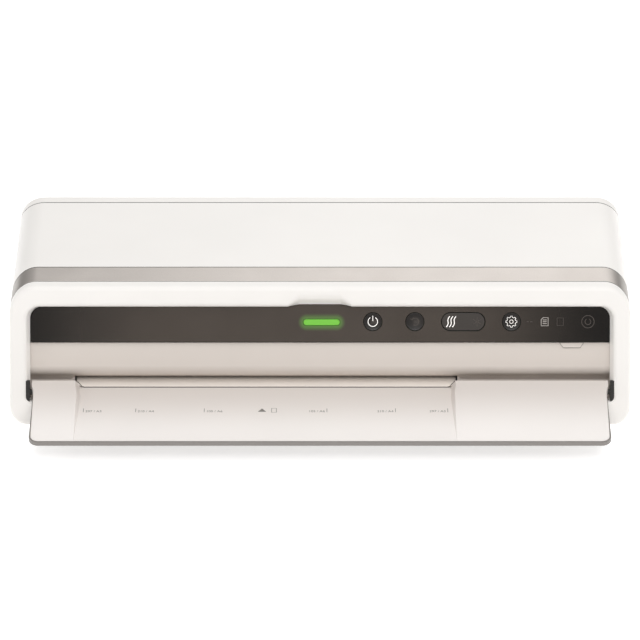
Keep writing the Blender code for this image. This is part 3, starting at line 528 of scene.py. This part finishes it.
def make_rear_bezel():
    """The rear frame: a soft outer edge, a stepped opening, a finger notch and a window for the inlet."""
    edge = 2.2 * MM
    step = 1.5 * MM
    mirrored = REAR @ Matrix.Scale(-1, 4, (1, 0, 0))
    rings = [
        housing_ring(0.3 * MM, rear_plane(REAR_DEPTH)),
        housing_ring(0, rear_plane(REAR_DEPTH - 0.3 * MM)),
    ]
    rings += [housing_ring(inset, rear_plane(depth)) for inset, depth in quarter(edge, 6)]
    for grow, depth in ((step, 0.0), (step * 0.3, step * 0.3), (0.0, step), (0.0, 9.5 * MM)):
        low = REAR_LOW - grow
        high = REAR_HIGH + grow
        ring = opening_ring(mirrored, REAR_HALF + grow, low, high, 3 * MM + grow, 8 * MM + grow, depth, 0)
        rings.append(ring)
    mesh = surface("rear_bezel_shell", rings, wrap_rows=True, wrap_columns=True)
    shell = put("rear_bezel_shell", mesh, "housing", WHITE, "white_shell", "rear_bezel")
    base = REAR_HIGH - MM
    notch = []
    for top, height in ((REAR_HIGH + 8 * MM, MM), (REAR_HIGH + 2 * MM, -6 * MM)):
        ring = [(-SCOOP_HALF, base), (SCOOP_HALF, base), (SCOOP_FLAT, top), (-SCOOP_FLAT, top)]
        notch.append([REAR @ Vector((x, y, height)) for x, y in ring])
    carve(shell, surface("notch_cutter", notch, wrap_columns=True, caps=True))
    low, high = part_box("power_inlet")
    window = turned_frame(((low[0] + high[0]) / 2, high[1], (low[2] + high[2]) / 2), math.pi / 2, math.pi)
    width = high[0] - low[0] + 0.6 * MM
    height = high[2] - low[2] + 0.6 * MM
    outline = rounded(width / 2, height / 2, 1.2 * MM)
    rings = [[window @ Vector((x, y, z)) for x, y in outline] for z in (-20 * MM, 20 * MM)]
    carve(shell, surface("inlet_cutter", rings, wrap_columns=True, caps=True))


def arch_line(inset, steps=20):
    reach = HALF_WIDTH - TOP_ROUND
    radius = TOP_ROUND - inset
    return [
        (HALF_WIDTH - inset, PARTING + SEAM),
        *arc(reach, TOP - TOP_ROUND, radius, 0, 90, steps),
        *arc(-reach, TOP - TOP_ROUND, radius, 90, 180, steps),
        (-HALF_WIDTH + inset, PARTING + SEAM),
    ]


def pan_line(inset, steps=14):
    reach = HALF_WIDTH - BASE_ROUND
    radius = BASE_ROUND - inset
    return [
        (-HALF_WIDTH + inset, PARTING),
        *arc(-reach, FOOT_HEIGHT + BASE_ROUND, radius, 180, 270, steps),
        *arc(reach, FOOT_HEIGHT + BASE_ROUND, radius, 270, 360, steps),
        (HALF_WIDTH - inset, PARTING),
    ]


def make_wrap(name, line, front, back, finish, slot, node, edge=0.45 * MM):
    """A bent wall between two leaning planes, with small rounded edges outside."""
    gap = 0.12 * MM
    sections = [(WALL, front(gap))]
    sections += [(inset, front(gap + depth)) for inset, depth in reversed(quarter(edge, 3))]
    sections += [(inset, back(gap + depth)) for inset, depth in quarter(edge, 3)]
    sections.append((WALL, back(gap)))
    rows = [[Vector((x, plane(z), z)) for x, z in line(inset)] for inset, plane in sections]
    mesh = surface(name, rows, wrap_rows=True, caps=True)
    put(name, mesh, "housing", finish, slot, node)


def make_seams():
    """Dark strips a little below the surface, seen through the gaps between the shells: painted shadow for
    the shade inside the seams.
    """
    depth = 0.06 * MM
    width = 0.45 * MM
    at_band = FRONT_DEPTH + SEAM / 2
    at_cover = FRONT_DEPTH + SEAM + BAND_DEPTH + SEAM / 2
    at_rear = REAR_DEPTH + SEAM / 2
    spots = (("band", face_plane, at_band), ("cover", face_plane, at_cover), ("rear", rear_plane, at_rear))
    for name, plane, offset in spots:
        low = plane(offset - width)
        high = plane(offset + width)
        corners = ((depth, low), (depth, high), (WALL, high), (WALL, low))
        mesh = surface("seam_" + name, [housing_ring(*corner) for corner in corners], True, True)
        put("seam_" + name, mesh, "housing", PAINTED_SEAM_SHADOW, "dark_plastic")
    front = face_plane(at_band)(PARTING)
    back = rear_plane(at_rear)(PARTING)
    for side, label in ((-1, "left"), (1, "right")):
        outer = side * (HALF_WIDTH - depth)
        inner = side * (HALF_WIDTH - WALL)
        corners = ((outer, front), (outer, back), (inner, back), (inner, front))
        heights = (PARTING - width, PARTING + SEAM + width)
        rows = [[Vector((x, y, z)) for x, y in corners] for z in heights]
        mesh = surface(f"seam_side_{label}", rows, wrap_columns=True, caps=True)
        put(f"seam_side_{label}", mesh, "housing", PAINTED_SEAM_SHADOW, "dark_plastic")


def make_housing():
    band = FRONT_DEPTH + SEAM
    cover = band + BAND_DEPTH + SEAM
    rear = REAR_DEPTH + SEAM
    make_wrap(
        "accent_band_shell",
        arch_line,
        lambda depth: face_plane(band + depth),
        lambda depth: face_plane(band + BAND_DEPTH - depth),
        BAND,
        "silver_band",
        "accent_band",
    )
    make_wrap(
        "top_cover_shell",
        arch_line,
        lambda depth: face_plane(cover + depth),
        lambda depth: rear_plane(rear + depth),
        WHITE,
        "white_shell",
        "top_cover",
    )
    make_wrap(
        "base_pan_shell",
        pan_line,
        lambda depth: face_plane(band + depth),
        lambda depth: rear_plane(rear + depth),
        WHITE,
        "white_shell",
        "base_pan",
    )
    make_front_bezel()
    make_rear_bezel()
    make_seams()


# The panel, its keys and their signs.


def panel_outline():
    high = OPENING_HIGH - 0.3 * MM
    corner = OPENING_ROUND - 0.3 * MM
    low = PANEL_LOW
    half = PANEL_HALF
    return [
        (-half, low),
        (half, low),
        *arc(half - corner, high - corner, corner, 0, 90, 12),
        *[(x, high + 1.7 * MM * scoop_share(x)) for x in TOP_XS],
        *arc(-half + corner, high - corner, corner, 90, 180, 12),
    ]


def make_panel():
    clear = 0.4 * MM
    key_holes = [circle(x, KEY_LINE, KEY_ROUND + clear) for x in (POWER_AT, REVERSE_AT, SETTINGS_AT)]
    key_holes.append(pill(TEMPERATURE_AT, KEY_LINE, TEMPERATURE_LENGTH + 2 * clear, 2 * (KEY_ROUND + clear)))
    light_line = KEY_LINE - 0.5 * MM
    key_holes.append(pill(LIGHT_AT, light_line, 31 * MM, 5.6 * MM))
    mesh = plate(
        "control_panel_face",
        [panel_outline(), *key_holes],
        -RECESS - PANEL_THICKNESS,
        -RECESS,
        FACE,
        0.22 * MM,
    )
    put("control_panel_face", mesh, "housing", PANEL, "black_panel", "control_panel")
    light = [pill(LIGHT_AT, light_line, 30.4 * MM, 5 * MM)]
    mesh = plate("light_bar_lens", light, -RECESS - 3 * MM, -RECESS - 0.1 * MM, FACE, 0.5 * MM)
    put("light_bar_lens", mesh, "housing", GREEN, "green_light", "light_bar")


KEY_TOP = -RECESS - 0.3 * MM
DISH = 0.6 * MM


def make_round_key(name, x):
    """A round key with a dished top."""
    steps = 64
    shares = (0.03, 0.25, 0.5, 0.75, 0.93)
    profile = [(KEY_ROUND * share, KEY_TOP - DISH * (1 - share**2)) for share in shares]
    rim = [(KEY_ROUND - inset, KEY_TOP - depth) for inset, depth in reversed(quarter(0.25 * MM, 3))]
    profile += rim
    profile.append((KEY_ROUND, KEY_TOP - 5 * MM))
    rows = []
    for radius, height in profile:
        rows.append([FACE @ Vector((x + a, KEY_LINE + b, height)) for a, b in circle(0, 0, radius, steps)])
    mesh = surface(name + "_cap", rows, wrap_columns=True, caps=True)
    put(name + "_cap", mesh, name, KEY_BLACK, "key_black", name)


def ribbon(points, width, closed=False):
    """The outline of a stroke of even width along points."""
    left = []
    right = []
    count = len(points)
    for index, (x, y) in enumerate(points):
        before = points[(index - 1) % count] if closed or index else points[0]
        after = points[(index + 1) % count] if closed or index < count - 1 else points[-1]
        across = Vector((before[1] - after[1], after[0] - before[0])).normalized() * width / 2
        left.append((x + across.x, y + across.y))
        right.append((x - across.x, y - across.y))
    if closed:
        return [left, right]
    return [left + right[::-1]]


def sign(name, strokes, x, body, finish, slot, height, width=0.75 * MM, dish=0.0):
    """A sign of strokes round (x, KEY_LINE), a hair above the surface at height, following its dish."""
    thick = 0.12 * MM
    meshes = []
    for index, (points, closed) in enumerate(strokes):
        moved = [(x + a * MM, KEY_LINE + b * MM) for a, b in points]
        outline = ribbon(moved, width, closed)
        meshes.append(plate(f"{name}_{index}", outline, height, height + thick, FACE, 0.03 * MM))
    bm = bmesh.new()
    for mesh in meshes:
        bm.from_mesh(mesh)
        bpy.data.meshes.remove(mesh)
    for vert in bm.verts:
        local = FACE.inverted() @ vert.co
        local.z += dish * ((local.x - x) ** 2 + (local.y - KEY_LINE) ** 2) / KEY_ROUND**2
        vert.co = FACE @ local
    joined = bpy.data.meshes.new(name)
    bm.to_mesh(joined)
    bm.free()
    put(name, joined, body, finish, slot, weighted=False)


def wave(offset, steps=14):
    """One rising wave of warm air."""
    rows = [step / steps for step in range(steps + 1)]
    return [(offset + 0.7 * math.sin(t * 2 * math.pi) + 3.0 * (t - 0.5), 9.0 * (t - 0.5)) for t in rows]


def cog(teeth=8, root=3.7, tip=4.7):
    points = []
    for tooth in range(teeth):
        for share, radius in ((-0.30, root), (-0.17, tip), (0.17, tip), (0.30, root)):
            angle = 2 * math.pi * (tooth + share) / teeth
            points.append((radius * math.cos(angle), radius * math.sin(angle)))
    return points


def make_signs():
    centre = KEY_TOP - DISH + 0.04 * MM
    ring = arc(0, 0, 4.0, 122, 418, 40)
    strokes = [(ring, False), ([(0, 0.6), (0, 5.0)], False)]
    sign("power_sign", strokes, POWER_AT, "power_key", LIT, "key_black", centre, 0.48 * MM, DISH)
    turn_back = [(arc(0.3, 0, 3.0, -120, 150, 26), False), ([(-4.0, 2.6), (-2.2, 1.4), (-1.2, 3.6)], False)]
    sign("reverse_sign", turn_back, REVERSE_AT, "reverse_key", FAINT, "key_black", centre, dish=DISH)
    gear = [(cog(), True), (circle(0, 0, 1.5, 24), True)]
    sign("settings_sign", gear, SETTINGS_AT, "settings_key", LIT, "key_black", centre, 0.36 * MM, DISH)
    flat = -RECESS - 0.5 * MM + 0.02 * MM
    heat = [(wave(offset), False) for offset in (-2.6, 0.0, 2.6)]
    reach = TEMPERATURE_LENGTH / 2 - 8 * MM
    sign("heat_sign", heat, TEMPERATURE_AT - reach, "temperature_key", LIT, "key_black", flat, 0.6 * MM)
    arms = []
    for step in range(3):
        angle = math.pi * step / 3 + math.pi / 6
        end = (4.0 * math.cos(angle), 4.0 * math.sin(angle))
        arms.append(([(-end[0], -end[1]), end], False))
    cold_at = TEMPERATURE_AT + reach + 1.5 * MM
    sign("cold_sign", arms, cold_at, "temperature_key", FAINT, "key_black", flat, 0.6 * MM)
    panel = -RECESS + 0.02 * MM
    dashes = [([(-2.4, 0), (-0.6, 0)], False), ([(0.6, 0), (2.4, 0)], False)]
    sign("dash_sign", dashes, 175.4 * MM, "housing", FAINT, "black_panel", panel, 0.6 * MM)
    page = [([(-2.9, -3.4), (2.9, -3.4), (2.9, 3.4), (-1.2, 3.4), (-2.9, 1.8)], True)]
    page += [([(-1.6, level), (1.7, level)], False) for level in (-1.6, 0.0, 1.5)]
    sign("page_sign", page, 188 * MM, "housing", HALF_LIT, "black_panel", panel, 0.7 * MM)
    thick_page = [([(-2.6, -3.2), (2.6, -3.2), (2.6, 3.2), (-2.6, 3.2)], True)]
    sign("thick_page_sign", thick_page, 201 * MM, "housing", FAINT, "black_panel", panel, 0.5 * MM)
    rest = [(circle(0, 0, 5.2, 40), True), (arc(0, 0, 2.4, 120, 420, 20), False)]
    sign("standby_sign", rest, 224.2 * MM, "housing", FAINT, "black_panel", panel, 0.6 * MM)


def make_temperature_key():
    outline = [pill(TEMPERATURE_AT, KEY_LINE, TEMPERATURE_LENGTH, 2 * KEY_ROUND, 24)]
    top = -RECESS - 0.5 * MM
    mesh = plate("temperature_key_cap", outline, top - 3.5 * MM, top, FACE, 0.4 * MM)
    put("temperature_key_cap", mesh, "temperature_key", KEY_BLACK, "key_black", "temperature_key")


# The fascia: flat below the panel, curled in over the slot, then down behind the tray.

FASCIA_DROP = 9.9 * MM
CURL = 8.6 * MM
FLAT_LOW = 50 * MM
FASCIA_HALF = 248.6 * MM


def fascia_profile(extra):
    """(height, up) pairs down the visible side. extra carries the curl on, beside the slot."""
    curl = arc(-FASCIA_DROP - CURL, FLAT_LOW, CURL, 0, -90, 16)
    wall = curl[-1][0] - 2.6 * MM
    low = curl[-1][1]
    points = [(-FASCIA_DROP, PANEL_LOW - 0.6 * MM), (-FASCIA_DROP, FLAT_LOW + 6 * MM), *curl]
    points.append((wall + 1.2 * MM, low - extra * 0.4))
    points.append((wall, low - extra - 0.8 * MM))
    return points


def make_fascia():
    slot_low = 33 * MM
    gap = 2.5 * MM
    corner = 3 * MM
    left = SLOT_LEFT - gap
    right = SLOT_RIGHT + gap
    xs = [-FASCIA_HALF, left - corner, left - 1.5 * MM, left, left + 0.5 * MM, right - 0.5 * MM, right]
    xs += [right + 1.5 * MM, right + corner, FASCIA_HALF]
    rows = []
    for x in xs:
        extra = 0.0 if left <= x <= right else 2.4 * MM * min(1.0, max(left - x, x - right) / corner)
        rows.append([FACE @ Vector((x, up, height)) for height, up in fascia_profile(extra)])
    bm = bmesh.new()
    grid = [[bm.verts.new(point) for point in row] for row in rows]
    for row, after in zip(grid, grid[1:]):
        for index in range(len(row) - 1):
            bm.faces.new((row[index], row[index + 1], after[index + 1], after[index]))
    mesh = bpy.data.meshes.new("front_fascia_curl")
    bm.to_mesh(mesh)
    bm.free()
    curl = put("front_fascia_curl", mesh, "housing", BEIGE, "beige_fascia", "front_fascia", sharp=40)
    shell = curl.modifiers.new("wall", "SOLIDIFY")
    shell.thickness = 1.6 * MM
    shell.offset = -1.0
    shell.use_even_offset = True
    curl.modifiers.move(1, 0)
    back = -FASCIA_DROP - CURL - 2.6 * MM
    low = 17 * MM
    notch = [(right, slot_low), (right, 41 * MM), (FASCIA_HALF, 41 * MM), (FASCIA_HALF, low)]
    notch += [(-FASCIA_HALF, low), (-FASCIA_HALF, 41 * MM), (left, 41 * MM), (left, slot_low)]
    mesh = plate("front_fascia_back", [notch], back - 1.8 * MM, back - 0.2 * MM, FACE, 0.2 * MM)
    put("front_fascia_back", mesh, "housing", BEIGE, "beige_fascia")
    for side, label in ((-1, "left"), (1, "right")):
        x = side * (FASCIA_HALF + 0.4 * MM)
        deep = back - 1.5 * MM
        shallow = -9.4 * MM
        cheek = [(low, deep), (PANEL_LOW, deep), (PANEL_LOW, shallow), (low, shallow)]
        on_edge = Matrix(((0, 0, 1, 0), (1, 0, 0, 0), (0, 1, 0, 0), (0, 0, 0, 1)))
        sideways = FACE @ Matrix.Translation((x, 0, 0)) @ on_edge
        mesh = plate(f"fascia_cheek_{label}", [cheek], -0.3 * MM, 0.3 * MM, sideways, 0.1 * MM)
        put(f"fascia_cheek_{label}", mesh, "housing", BEIGE, "beige_fascia")
    high = PANEL_LOW - 0.7 * MM
    tab_low = 65 * MM
    tab = [(TAB_AT - 7.2 * MM, tab_low), (TAB_AT + 7.2 * MM, tab_low)]
    tab += [(TAB_AT + 10 * MM, high), (TAB_AT - 10 * MM, high)]
    mesh = plate("fascia_tab_face", [tab], -FASCIA_DROP + 0.02 * MM, -FASCIA_DROP + 0.5 * MM, FACE, 0.2 * MM)
    put("fascia_tab_face", mesh, "housing", BEIGE, "beige_fascia", "fascia_tab")
    ring = ribbon([tab[3], tab[0], tab[1], tab[2]], 0.45 * MM)
    mesh = plate("fascia_tab_seam", ring, -FASCIA_DROP + 0.5 * MM, -FASCIA_DROP + 0.56 * MM, FACE, 0.02 * MM)
    put("fascia_tab_seam", mesh, "housing", PRINT, "beige_fascia", weighted=False)


# Trays.


def shoulder_height(y):
    """The top of a tray shoulder: rounded over at the hinge, then falling in a slight bow."""
    end = TRAY_END - RIM
    share = min(1.0, max(0.0, (y - TRAY_REAR) / (end - TRAY_REAR)))
    bow = -0.7 * MM * math.sin(math.pi * share)
    over = max(0.0, 1 - (y - TRAY_REAR) / (1.6 * MM))
    rounding = 1.6 * MM * (1 - math.sqrt(max(0.0, 1 - over * over)))
    return SHOULDER + (FLOOR - SHOULDER) * share + bow * 0.6 + rounding


def spaced(start, end, steps):
    """Even steps from just after start up to end."""
    return [start + (end - start) * step / steps for step in range(1, steps + 1)]


def tray_columns(y):
    """(x, z) across the tray's top at one distance from the hinge."""
    half = TRAY_HALF - RIM - 0.15 * MM
    high = min(shoulder_height(y), FLOOR)
    slope = 4.6 / 7.6
    spread = (FLOOR - high) * slope
    soft = ((0.0, 0.0), (0.10, 0.03), (0.22, 0.14), (0.5, 0.5), (0.80, 0.88), (0.93, 0.97), (1.06, 1.0))
    corner = TRAY_ROUND - RIM
    bend = [corner * (1 - math.cos(math.pi / 2 * step / 8)) for step in range(9)]
    inner_left = SLOT_LEFT - MM
    inner_right = SLOT_RIGHT + MM
    columns = [(-half + past, high) for past in bend]
    columns += [(x, high) for x in spaced(-half + corner, inner_left, 5)]
    columns += [(SLOT_LEFT + spread * u, high + (FLOOR - high) * v) for u, v in soft]
    floor_left = SLOT_LEFT + 7 * MM
    floor_right = SLOT_RIGHT - 7 * MM
    columns += [(floor_left + (floor_right - floor_left) * step / 8, FLOOR) for step in range(9)]
    columns += [(SLOT_RIGHT - spread * u, high + (FLOOR - high) * v) for u, v in reversed(soft)]
    columns += [(x, high) for x in [inner_right, *spaced(inner_right, half - corner, 8)[:-1]]]
    columns += [(half - past, high) for past in reversed(bend)]
    return columns


def make_entry_tray():
    """The white top of the tray: a floor between two shoulders, round at its free corners."""
    half = TRAY_HALF - RIM - 0.15 * MM
    end = TRAY_END - RIM - 0.15 * MM
    corner = TRAY_ROUND - RIM
    shares = [0, 0.004, 0.01, 0.016, 0.022, 0.05] + [0.1 * step for step in range(1, 11)]
    below = HINGE_IN - SKIN - 0.1 * MM
    rows = []
    for share in shares:
        y = TRAY_REAR + share * (end - TRAY_REAR)
        row = []
        flush = 1.9 * MM * min(1.0, max(0.0, (9 * MM - y) / (4 * MM)))
        for x, z in tray_columns(y):
            x *= (half + flush) / half
            past = max(0.0, abs(x) - (half - corner))
            short = corner - math.sqrt(max(0.0, corner**2 - past**2))
            row.append(TRAY @ Vector((x, TRAY_REAR + share * (end - short - TRAY_REAR), z)))
        rows.append(row)
    bm = bmesh.new()
    grid = [[bm.verts.new(point) for point in row] for row in rows]
    for row, after in zip(grid, grid[1:]):
        for index in range(len(row) - 1):
            bm.faces.new((row[index], row[index + 1], after[index + 1], after[index]))
    rim = [edge for edge in bm.edges if edge.is_boundary]
    made = bmesh.ops.extrude_edge_only(bm, edges=rim)
    back = TRAY.inverted()
    for vert in [item for item in made["geom"] if isinstance(item, bmesh.types.BMVert)]:
        local = back @ vert.co
        vert.co = TRAY @ Vector((local.x, local.y, below))
    lower = [item for item in made["geom"] if isinstance(item, bmesh.types.BMEdge) and item.is_boundary]
    bmesh.ops.holes_fill(bm, edges=lower, sides=0)
    bmesh.ops.recalc_face_normals(bm, faces=bm.faces)
    mesh = bpy.data.meshes.new("entry_tray_top")
    bm.to_mesh(mesh)
    bm.free()
    tray = put("entry_tray_top", mesh, "entry_tray", TRAY_WHITE_PAINTED_SHADE, "white_shell", "front_tray", sharp=50)
    bevel = tray.modifiers.new("edges", "BEVEL")
    bevel.width = 0.3 * MM
    bevel.segments = 2
    bevel.limit_method = "ANGLE"
    bevel.angle_limit = math.radians(60)
    tray.modifiers.move(1, 0)
    for side, label in ((-1, "left"), (1, "right")):
        turn = Matrix.Rotation(math.pi / 2, 4, "Y")
        pin = [circle(0, 0, 2.4 * MM, 32)]
        place = TRAY @ Matrix.Translation((side * (TRAY_HALF + 2 * MM), 0, 0)) @ turn
        mesh = plate(f"tray_pin_{label}", pin, -4 * MM, 4 * MM, place, 0.3 * MM)
        put(f"tray_pin_{label}", mesh, "entry_tray", DARK, "dark_plastic")


def skin_ring(inset, height, low_rear=None):
    half = TRAY_HALF - inset
    outline = frame_outline(half, SKIN_REAR + inset, TRAY_END - inset, 0.6 * MM, TRAY_ROUND - inset)
    ring = []
    for x, y in outline:
        z = height
        if low_rear is not None:
            share = min(1.0, max(0.0, (y - 4 * MM) / (5 * MM)))
            z = low_rear + (height - low_rear) * share
        ring.append(TRAY @ Vector((x, y, z)))
    return ring


def make_tray_skin():
    """The grey underside of the tray, with a rim that shows round its free edges."""
    under = HINGE_IN
    inside = HINGE_IN - SKIN
    tucked = inside - 0.2 * MM
    rings = [skin_ring(inset, under - depth) for inset, depth in reversed(quarter(0.8 * MM, 5))]
    rings.append(skin_ring(0, FLOOR + 0.3 * MM, tucked + 0.3 * MM))
    rings.append(skin_ring(0.1 * MM, FLOOR + 0.1 * MM, tucked + 0.1 * MM))
    rings.append(skin_ring(0.3 * MM, FLOOR, tucked))
    rings.append(skin_ring(RIM - 0.2 * MM, FLOOR, tucked))
    rings.append(skin_ring(RIM, FLOOR + 0.2 * MM, tucked + 0.1 * MM))
    rings.append(skin_ring(RIM, inside))
    mesh = surface("entry_tray_skin", rings, wrap_columns=True, caps=True)
    put("entry_tray_skin", mesh, "entry_tray", GREY, "grey_edge", "front_tray_skin", sharp=50)


def make_tray_marks():
    """Width marks for three paper sizes, an arrow and a page, printed on the tray floor."""
    top = FLOOR - 0.05 * MM
    middle = (SLOT_LEFT + SLOT_RIGHT) / 2
    y = 27 * MM
    sizes = (("A3", "297 / A3", 151.5 * MM), ("A4", "210 / A4", 108 * MM), ("A6", "105 / A6", 51 * MM))
    flip = TRAY @ Matrix.Rotation(math.pi, 4, "X")

    def lay(name, loops):
        """Prints loops given as (x, distance from the hinge)."""
        turned = [[(x, -b) for x, b in loop] for loop in loops]
        mesh = plate(name, turned, -top - 0.01 * MM, -top + 0.04 * MM, flip, 0.01 * MM)
        put(name, mesh, "entry_tray", PRINT, "grey_edge", weighted=False)

    for label, writing, reach in sizes:
        for side in (-1, 1):
            x = middle + side * reach
            word = f"{label}_{'left' if side < 0 else 'right'}"
            lay(f"width_mark_{word}", ribbon([(x, y - 2.6 * MM), (x, y + 2.6 * MM)], 0.45 * MM))
            text = bpy.data.curves.new(f"size_{word}", "FONT")
            text.body = writing
            text.size = 3.9 * MM
            text.extrude = 0.02 * MM
            text.align_x = "RIGHT" if side > 0 else "LEFT"
            obj = bpy.data.objects.new(f"size_{word}", text)
            bpy.context.scene.collection.objects.link(obj)
            graph = bpy.context.evaluated_depsgraph_get()
            mesh = bpy.data.meshes.new_from_object(obj.evaluated_get(graph))
            bpy.data.objects.remove(obj, do_unlink=True)
            place = flip @ Matrix.Translation((x - side * 1.6 * MM, -y - 2.6 * MM, -top))
            mesh.transform(place)
            mesh.materials.clear()
            put(f"size_{word}", mesh, "entry_tray", PRINT, "grey_edge", weighted=False)
    broad = y + 2 * MM
    arrow = [(middle - 6.5 * MM, broad), (middle + 0.5 * MM, broad), (middle - 3 * MM, y - 2.6 * MM)]
    lay("feed_arrow", [arrow])
    page_x = middle + 7 * MM
    page = [(page_x - 2 * MM, y - 2.8 * MM), (page_x + 2 * MM, y - 2.8 * MM)]
    page += [(page_x + 2 * MM, y + 2.8 * MM), (page_x - 2 * MM, y + 2.8 * MM)]
    lay("feed_page", ribbon(page, 0.5 * MM, closed=True))


def make_tray_shadow_line():
    """A thin dark strip along the rear of the floor and up the shoulders' inner sides: painted shadow for
    the gap there.
    """
    y = TRAY_REAR + 0.3 * MM
    low = FLOOR - 0.05 * MM
    draft = 4.6 * MM
    turn = 1.6 * MM
    path = [(SLOT_LEFT, SHOULDER + 1.2 * MM), (SLOT_LEFT + draft - turn, low - turn * 1.6)]
    path += [(SLOT_LEFT + draft - 0.3 * turn, low - 0.4 * turn), (SLOT_LEFT + draft + turn, low)]
    path += [(SLOT_LEFT + SLOT_RIGHT - x, z) for x, z in reversed(path)]
    rows = []
    for x, z in path:
        rows.append([TRAY @ Vector((x, y + a, z + b)) for a, b in circle(0, 0, 0.42 * MM, 10)])
    mesh = surface("tray_rear_shadow_line", rows, wrap_columns=True, caps=True)
    put("tray_rear_shadow_line", mesh, "entry_tray", PAINTED_SEAM_SHADOW, "dark_plastic")


def make_rear_tray():
    half = REAR_HALF - REAR_TRAY_CLEAR
    rear = REAR_LOW + REAR_TRAY_FOOT - REAR_HINGE_UP
    end = REAR_HIGH - REAR_TRAY_CLEAR - REAR_HINGE_UP
    outline = frame_outline(half, rear, end, 4 * MM, OPENING_ROUND - 3 * MM)
    top = REAR_HINGE_IN
    mesh = plate("exit_tray_panel", [outline], top - REAR_TRAY_THICKNESS, top, REAR_TRAY, 0.6 * MM)
    put("exit_tray_panel", mesh, "exit_tray", WHITE, "white_shell", "rear_tray")
    # Painted shade: a grey strip on the tray under the rear notch, for the shaded gap seen there.
    notch_shadow_strip = [(-SCOOP_HALF, end - 2.2 * MM), (SCOOP_HALF, end - 2.2 * MM), (SCOOP_HALF, end - 0.9 * MM)]
    notch_shadow_strip.append((-SCOOP_HALF, end - 0.9 * MM))
    mesh = plate("exit_tray_notch_shadow", [notch_shadow_strip], top - 0.1 * MM, top + 0.5 * MM, REAR_TRAY, 0.2 * MM)
    put("exit_tray_notch_shadow", mesh, "exit_tray", GREY, "grey_edge")


# The CAD nodes that stay take these materials.


def dress_nodes():
    finishes = {
        "beige_fascia": BEIGE,
        "dark_plastic": DARK,
        "rubber_feet": RUBBER,
        "steel": STEEL,
        "silicone": SILICONE,
        "heater_aluminium": ALUMINIUM,
        "acetal": ACETAL,
        "circuit_board": BOARD,
        "white_shell": WHITE,
        "grey_edge": GREY,
        "silver_band": BAND,
        "black_panel": PANEL,
        "key_black": KEY_BLACK,
        "green_light": GREEN,
    }
    for part in frame["record"]["subparts"]:
        node = frame["nodes"][part["node"]]
        node.data.materials.clear()
        node.data.materials.append(finishes[part["material_slot"]])
    # The ramp and upper guide take the lighter ramp beige, which is painted light.
    for name in ("entry_ramp", "entry_guide_upper"):
        frame["nodes"][name].data.materials[0] = PAINTED_LIT_RAMP


# Floor, light and camera.


def plain_material(name, colour, roughness, glow=0.0):
    finish = Finish(name, colour, roughness)
    if glow:
        finish.set(emission_color=colour, emission_strength=glow)
    return finish.material


def make_stage():
    bpy.ops.mesh.primitive_plane_add(size=16, location=(0, 0, 0))
    floor = bpy.context.object
    floor.name = "studio_floor"
    floor.data.materials.append(plain_material("pale_floor", (0.93, 0.93, 0.93, 1), 0.7, 0.6))
    world = bpy.context.scene.world or bpy.data.worlds.new("studio")
    bpy.context.scene.world = world
    world.use_nodes = True
    world.node_tree.nodes["Background"].inputs["Color"].default_value = (1, 1, 1, 1)
    world.node_tree.nodes["Background"].inputs["Strength"].default_value = 0.34


def area_light(name, place, target, size, power, colour=(1, 1, 1)):
    data = bpy.data.lights.new(name, "AREA")
    data.color = colour
    data.shape = "RECTANGLE"
    data.size, data.size_y = size
    data.energy = power
    light = bpy.data.objects.new(name, data)
    light.location = place
    light.rotation_euler = (Vector(target) - Vector(place)).to_track_quat("-Z", "Y").to_euler()
    bpy.context.scene.collection.objects.link(light)


CAMERA_RISE = math.radians(30.42)
CAMERA_DISTANCE = 3.726
LENS = 247.26
AIM = Vector((0.0, 0.0, 0.05))
LIFT = 0.0109


def make_camera():
    data = bpy.data.cameras.new("photo_view")
    data.sensor_width = 36
    data.lens = LENS
    data.shift_y = LIFT
    camera = bpy.data.objects.new("photo_view", data)
    back = Vector((0, -math.cos(CAMERA_RISE), math.sin(CAMERA_RISE)))
    camera.location = AIM + back * CAMERA_DISTANCE
    camera.rotation_euler = (math.pi / 2 - CAMERA_RISE, 0, 0)
    bpy.context.scene.collection.objects.link(camera)
    bpy.context.scene.camera = camera


def make_light():
    area_light("overhead_softbox", (0.1, 0.1, 1.8), (0, 0, 0), (2.6, 1.8), 19)
    area_light("front_high", (0.2, -1.7, 2.0), (0, 0, 0.05), (2.0, 0.8), 13)
    area_light("left_fill", (-2.0, -0.6, 1.0), (0, 0, 0.05), (0.9, 1.2), 6)
    area_light("right_fill", (2.0, -0.4, 0.9), (0, 0, 0.05), (0.9, 1.2), 5)
    area_light("rear_right", (0.75, 2.2, 1.3), (0, 0, 0.05), (2.0, 0.9), 5)
    area_light("panel_softbox", (-0.03, -2.75, 1.27), (-0.03, 0, 0.08), (0.72, 0.5), 2.2, (1, 0.86, 0.76))
    bpy.context.scene.view_settings.view_transform = "Standard"


dress_nodes()
make_housing()
make_panel()
for key_name, key_x in (("power_key", POWER_AT), ("reverse_key", REVERSE_AT), ("settings_key", SETTINGS_AT)):
    make_round_key(key_name, key_x)
make_temperature_key()
make_signs()
make_fascia()
make_entry_tray()
make_tray_skin()
make_tray_marks()
make_tray_shadow_line()
make_rear_tray()
make_stage()
make_light()
make_camera()
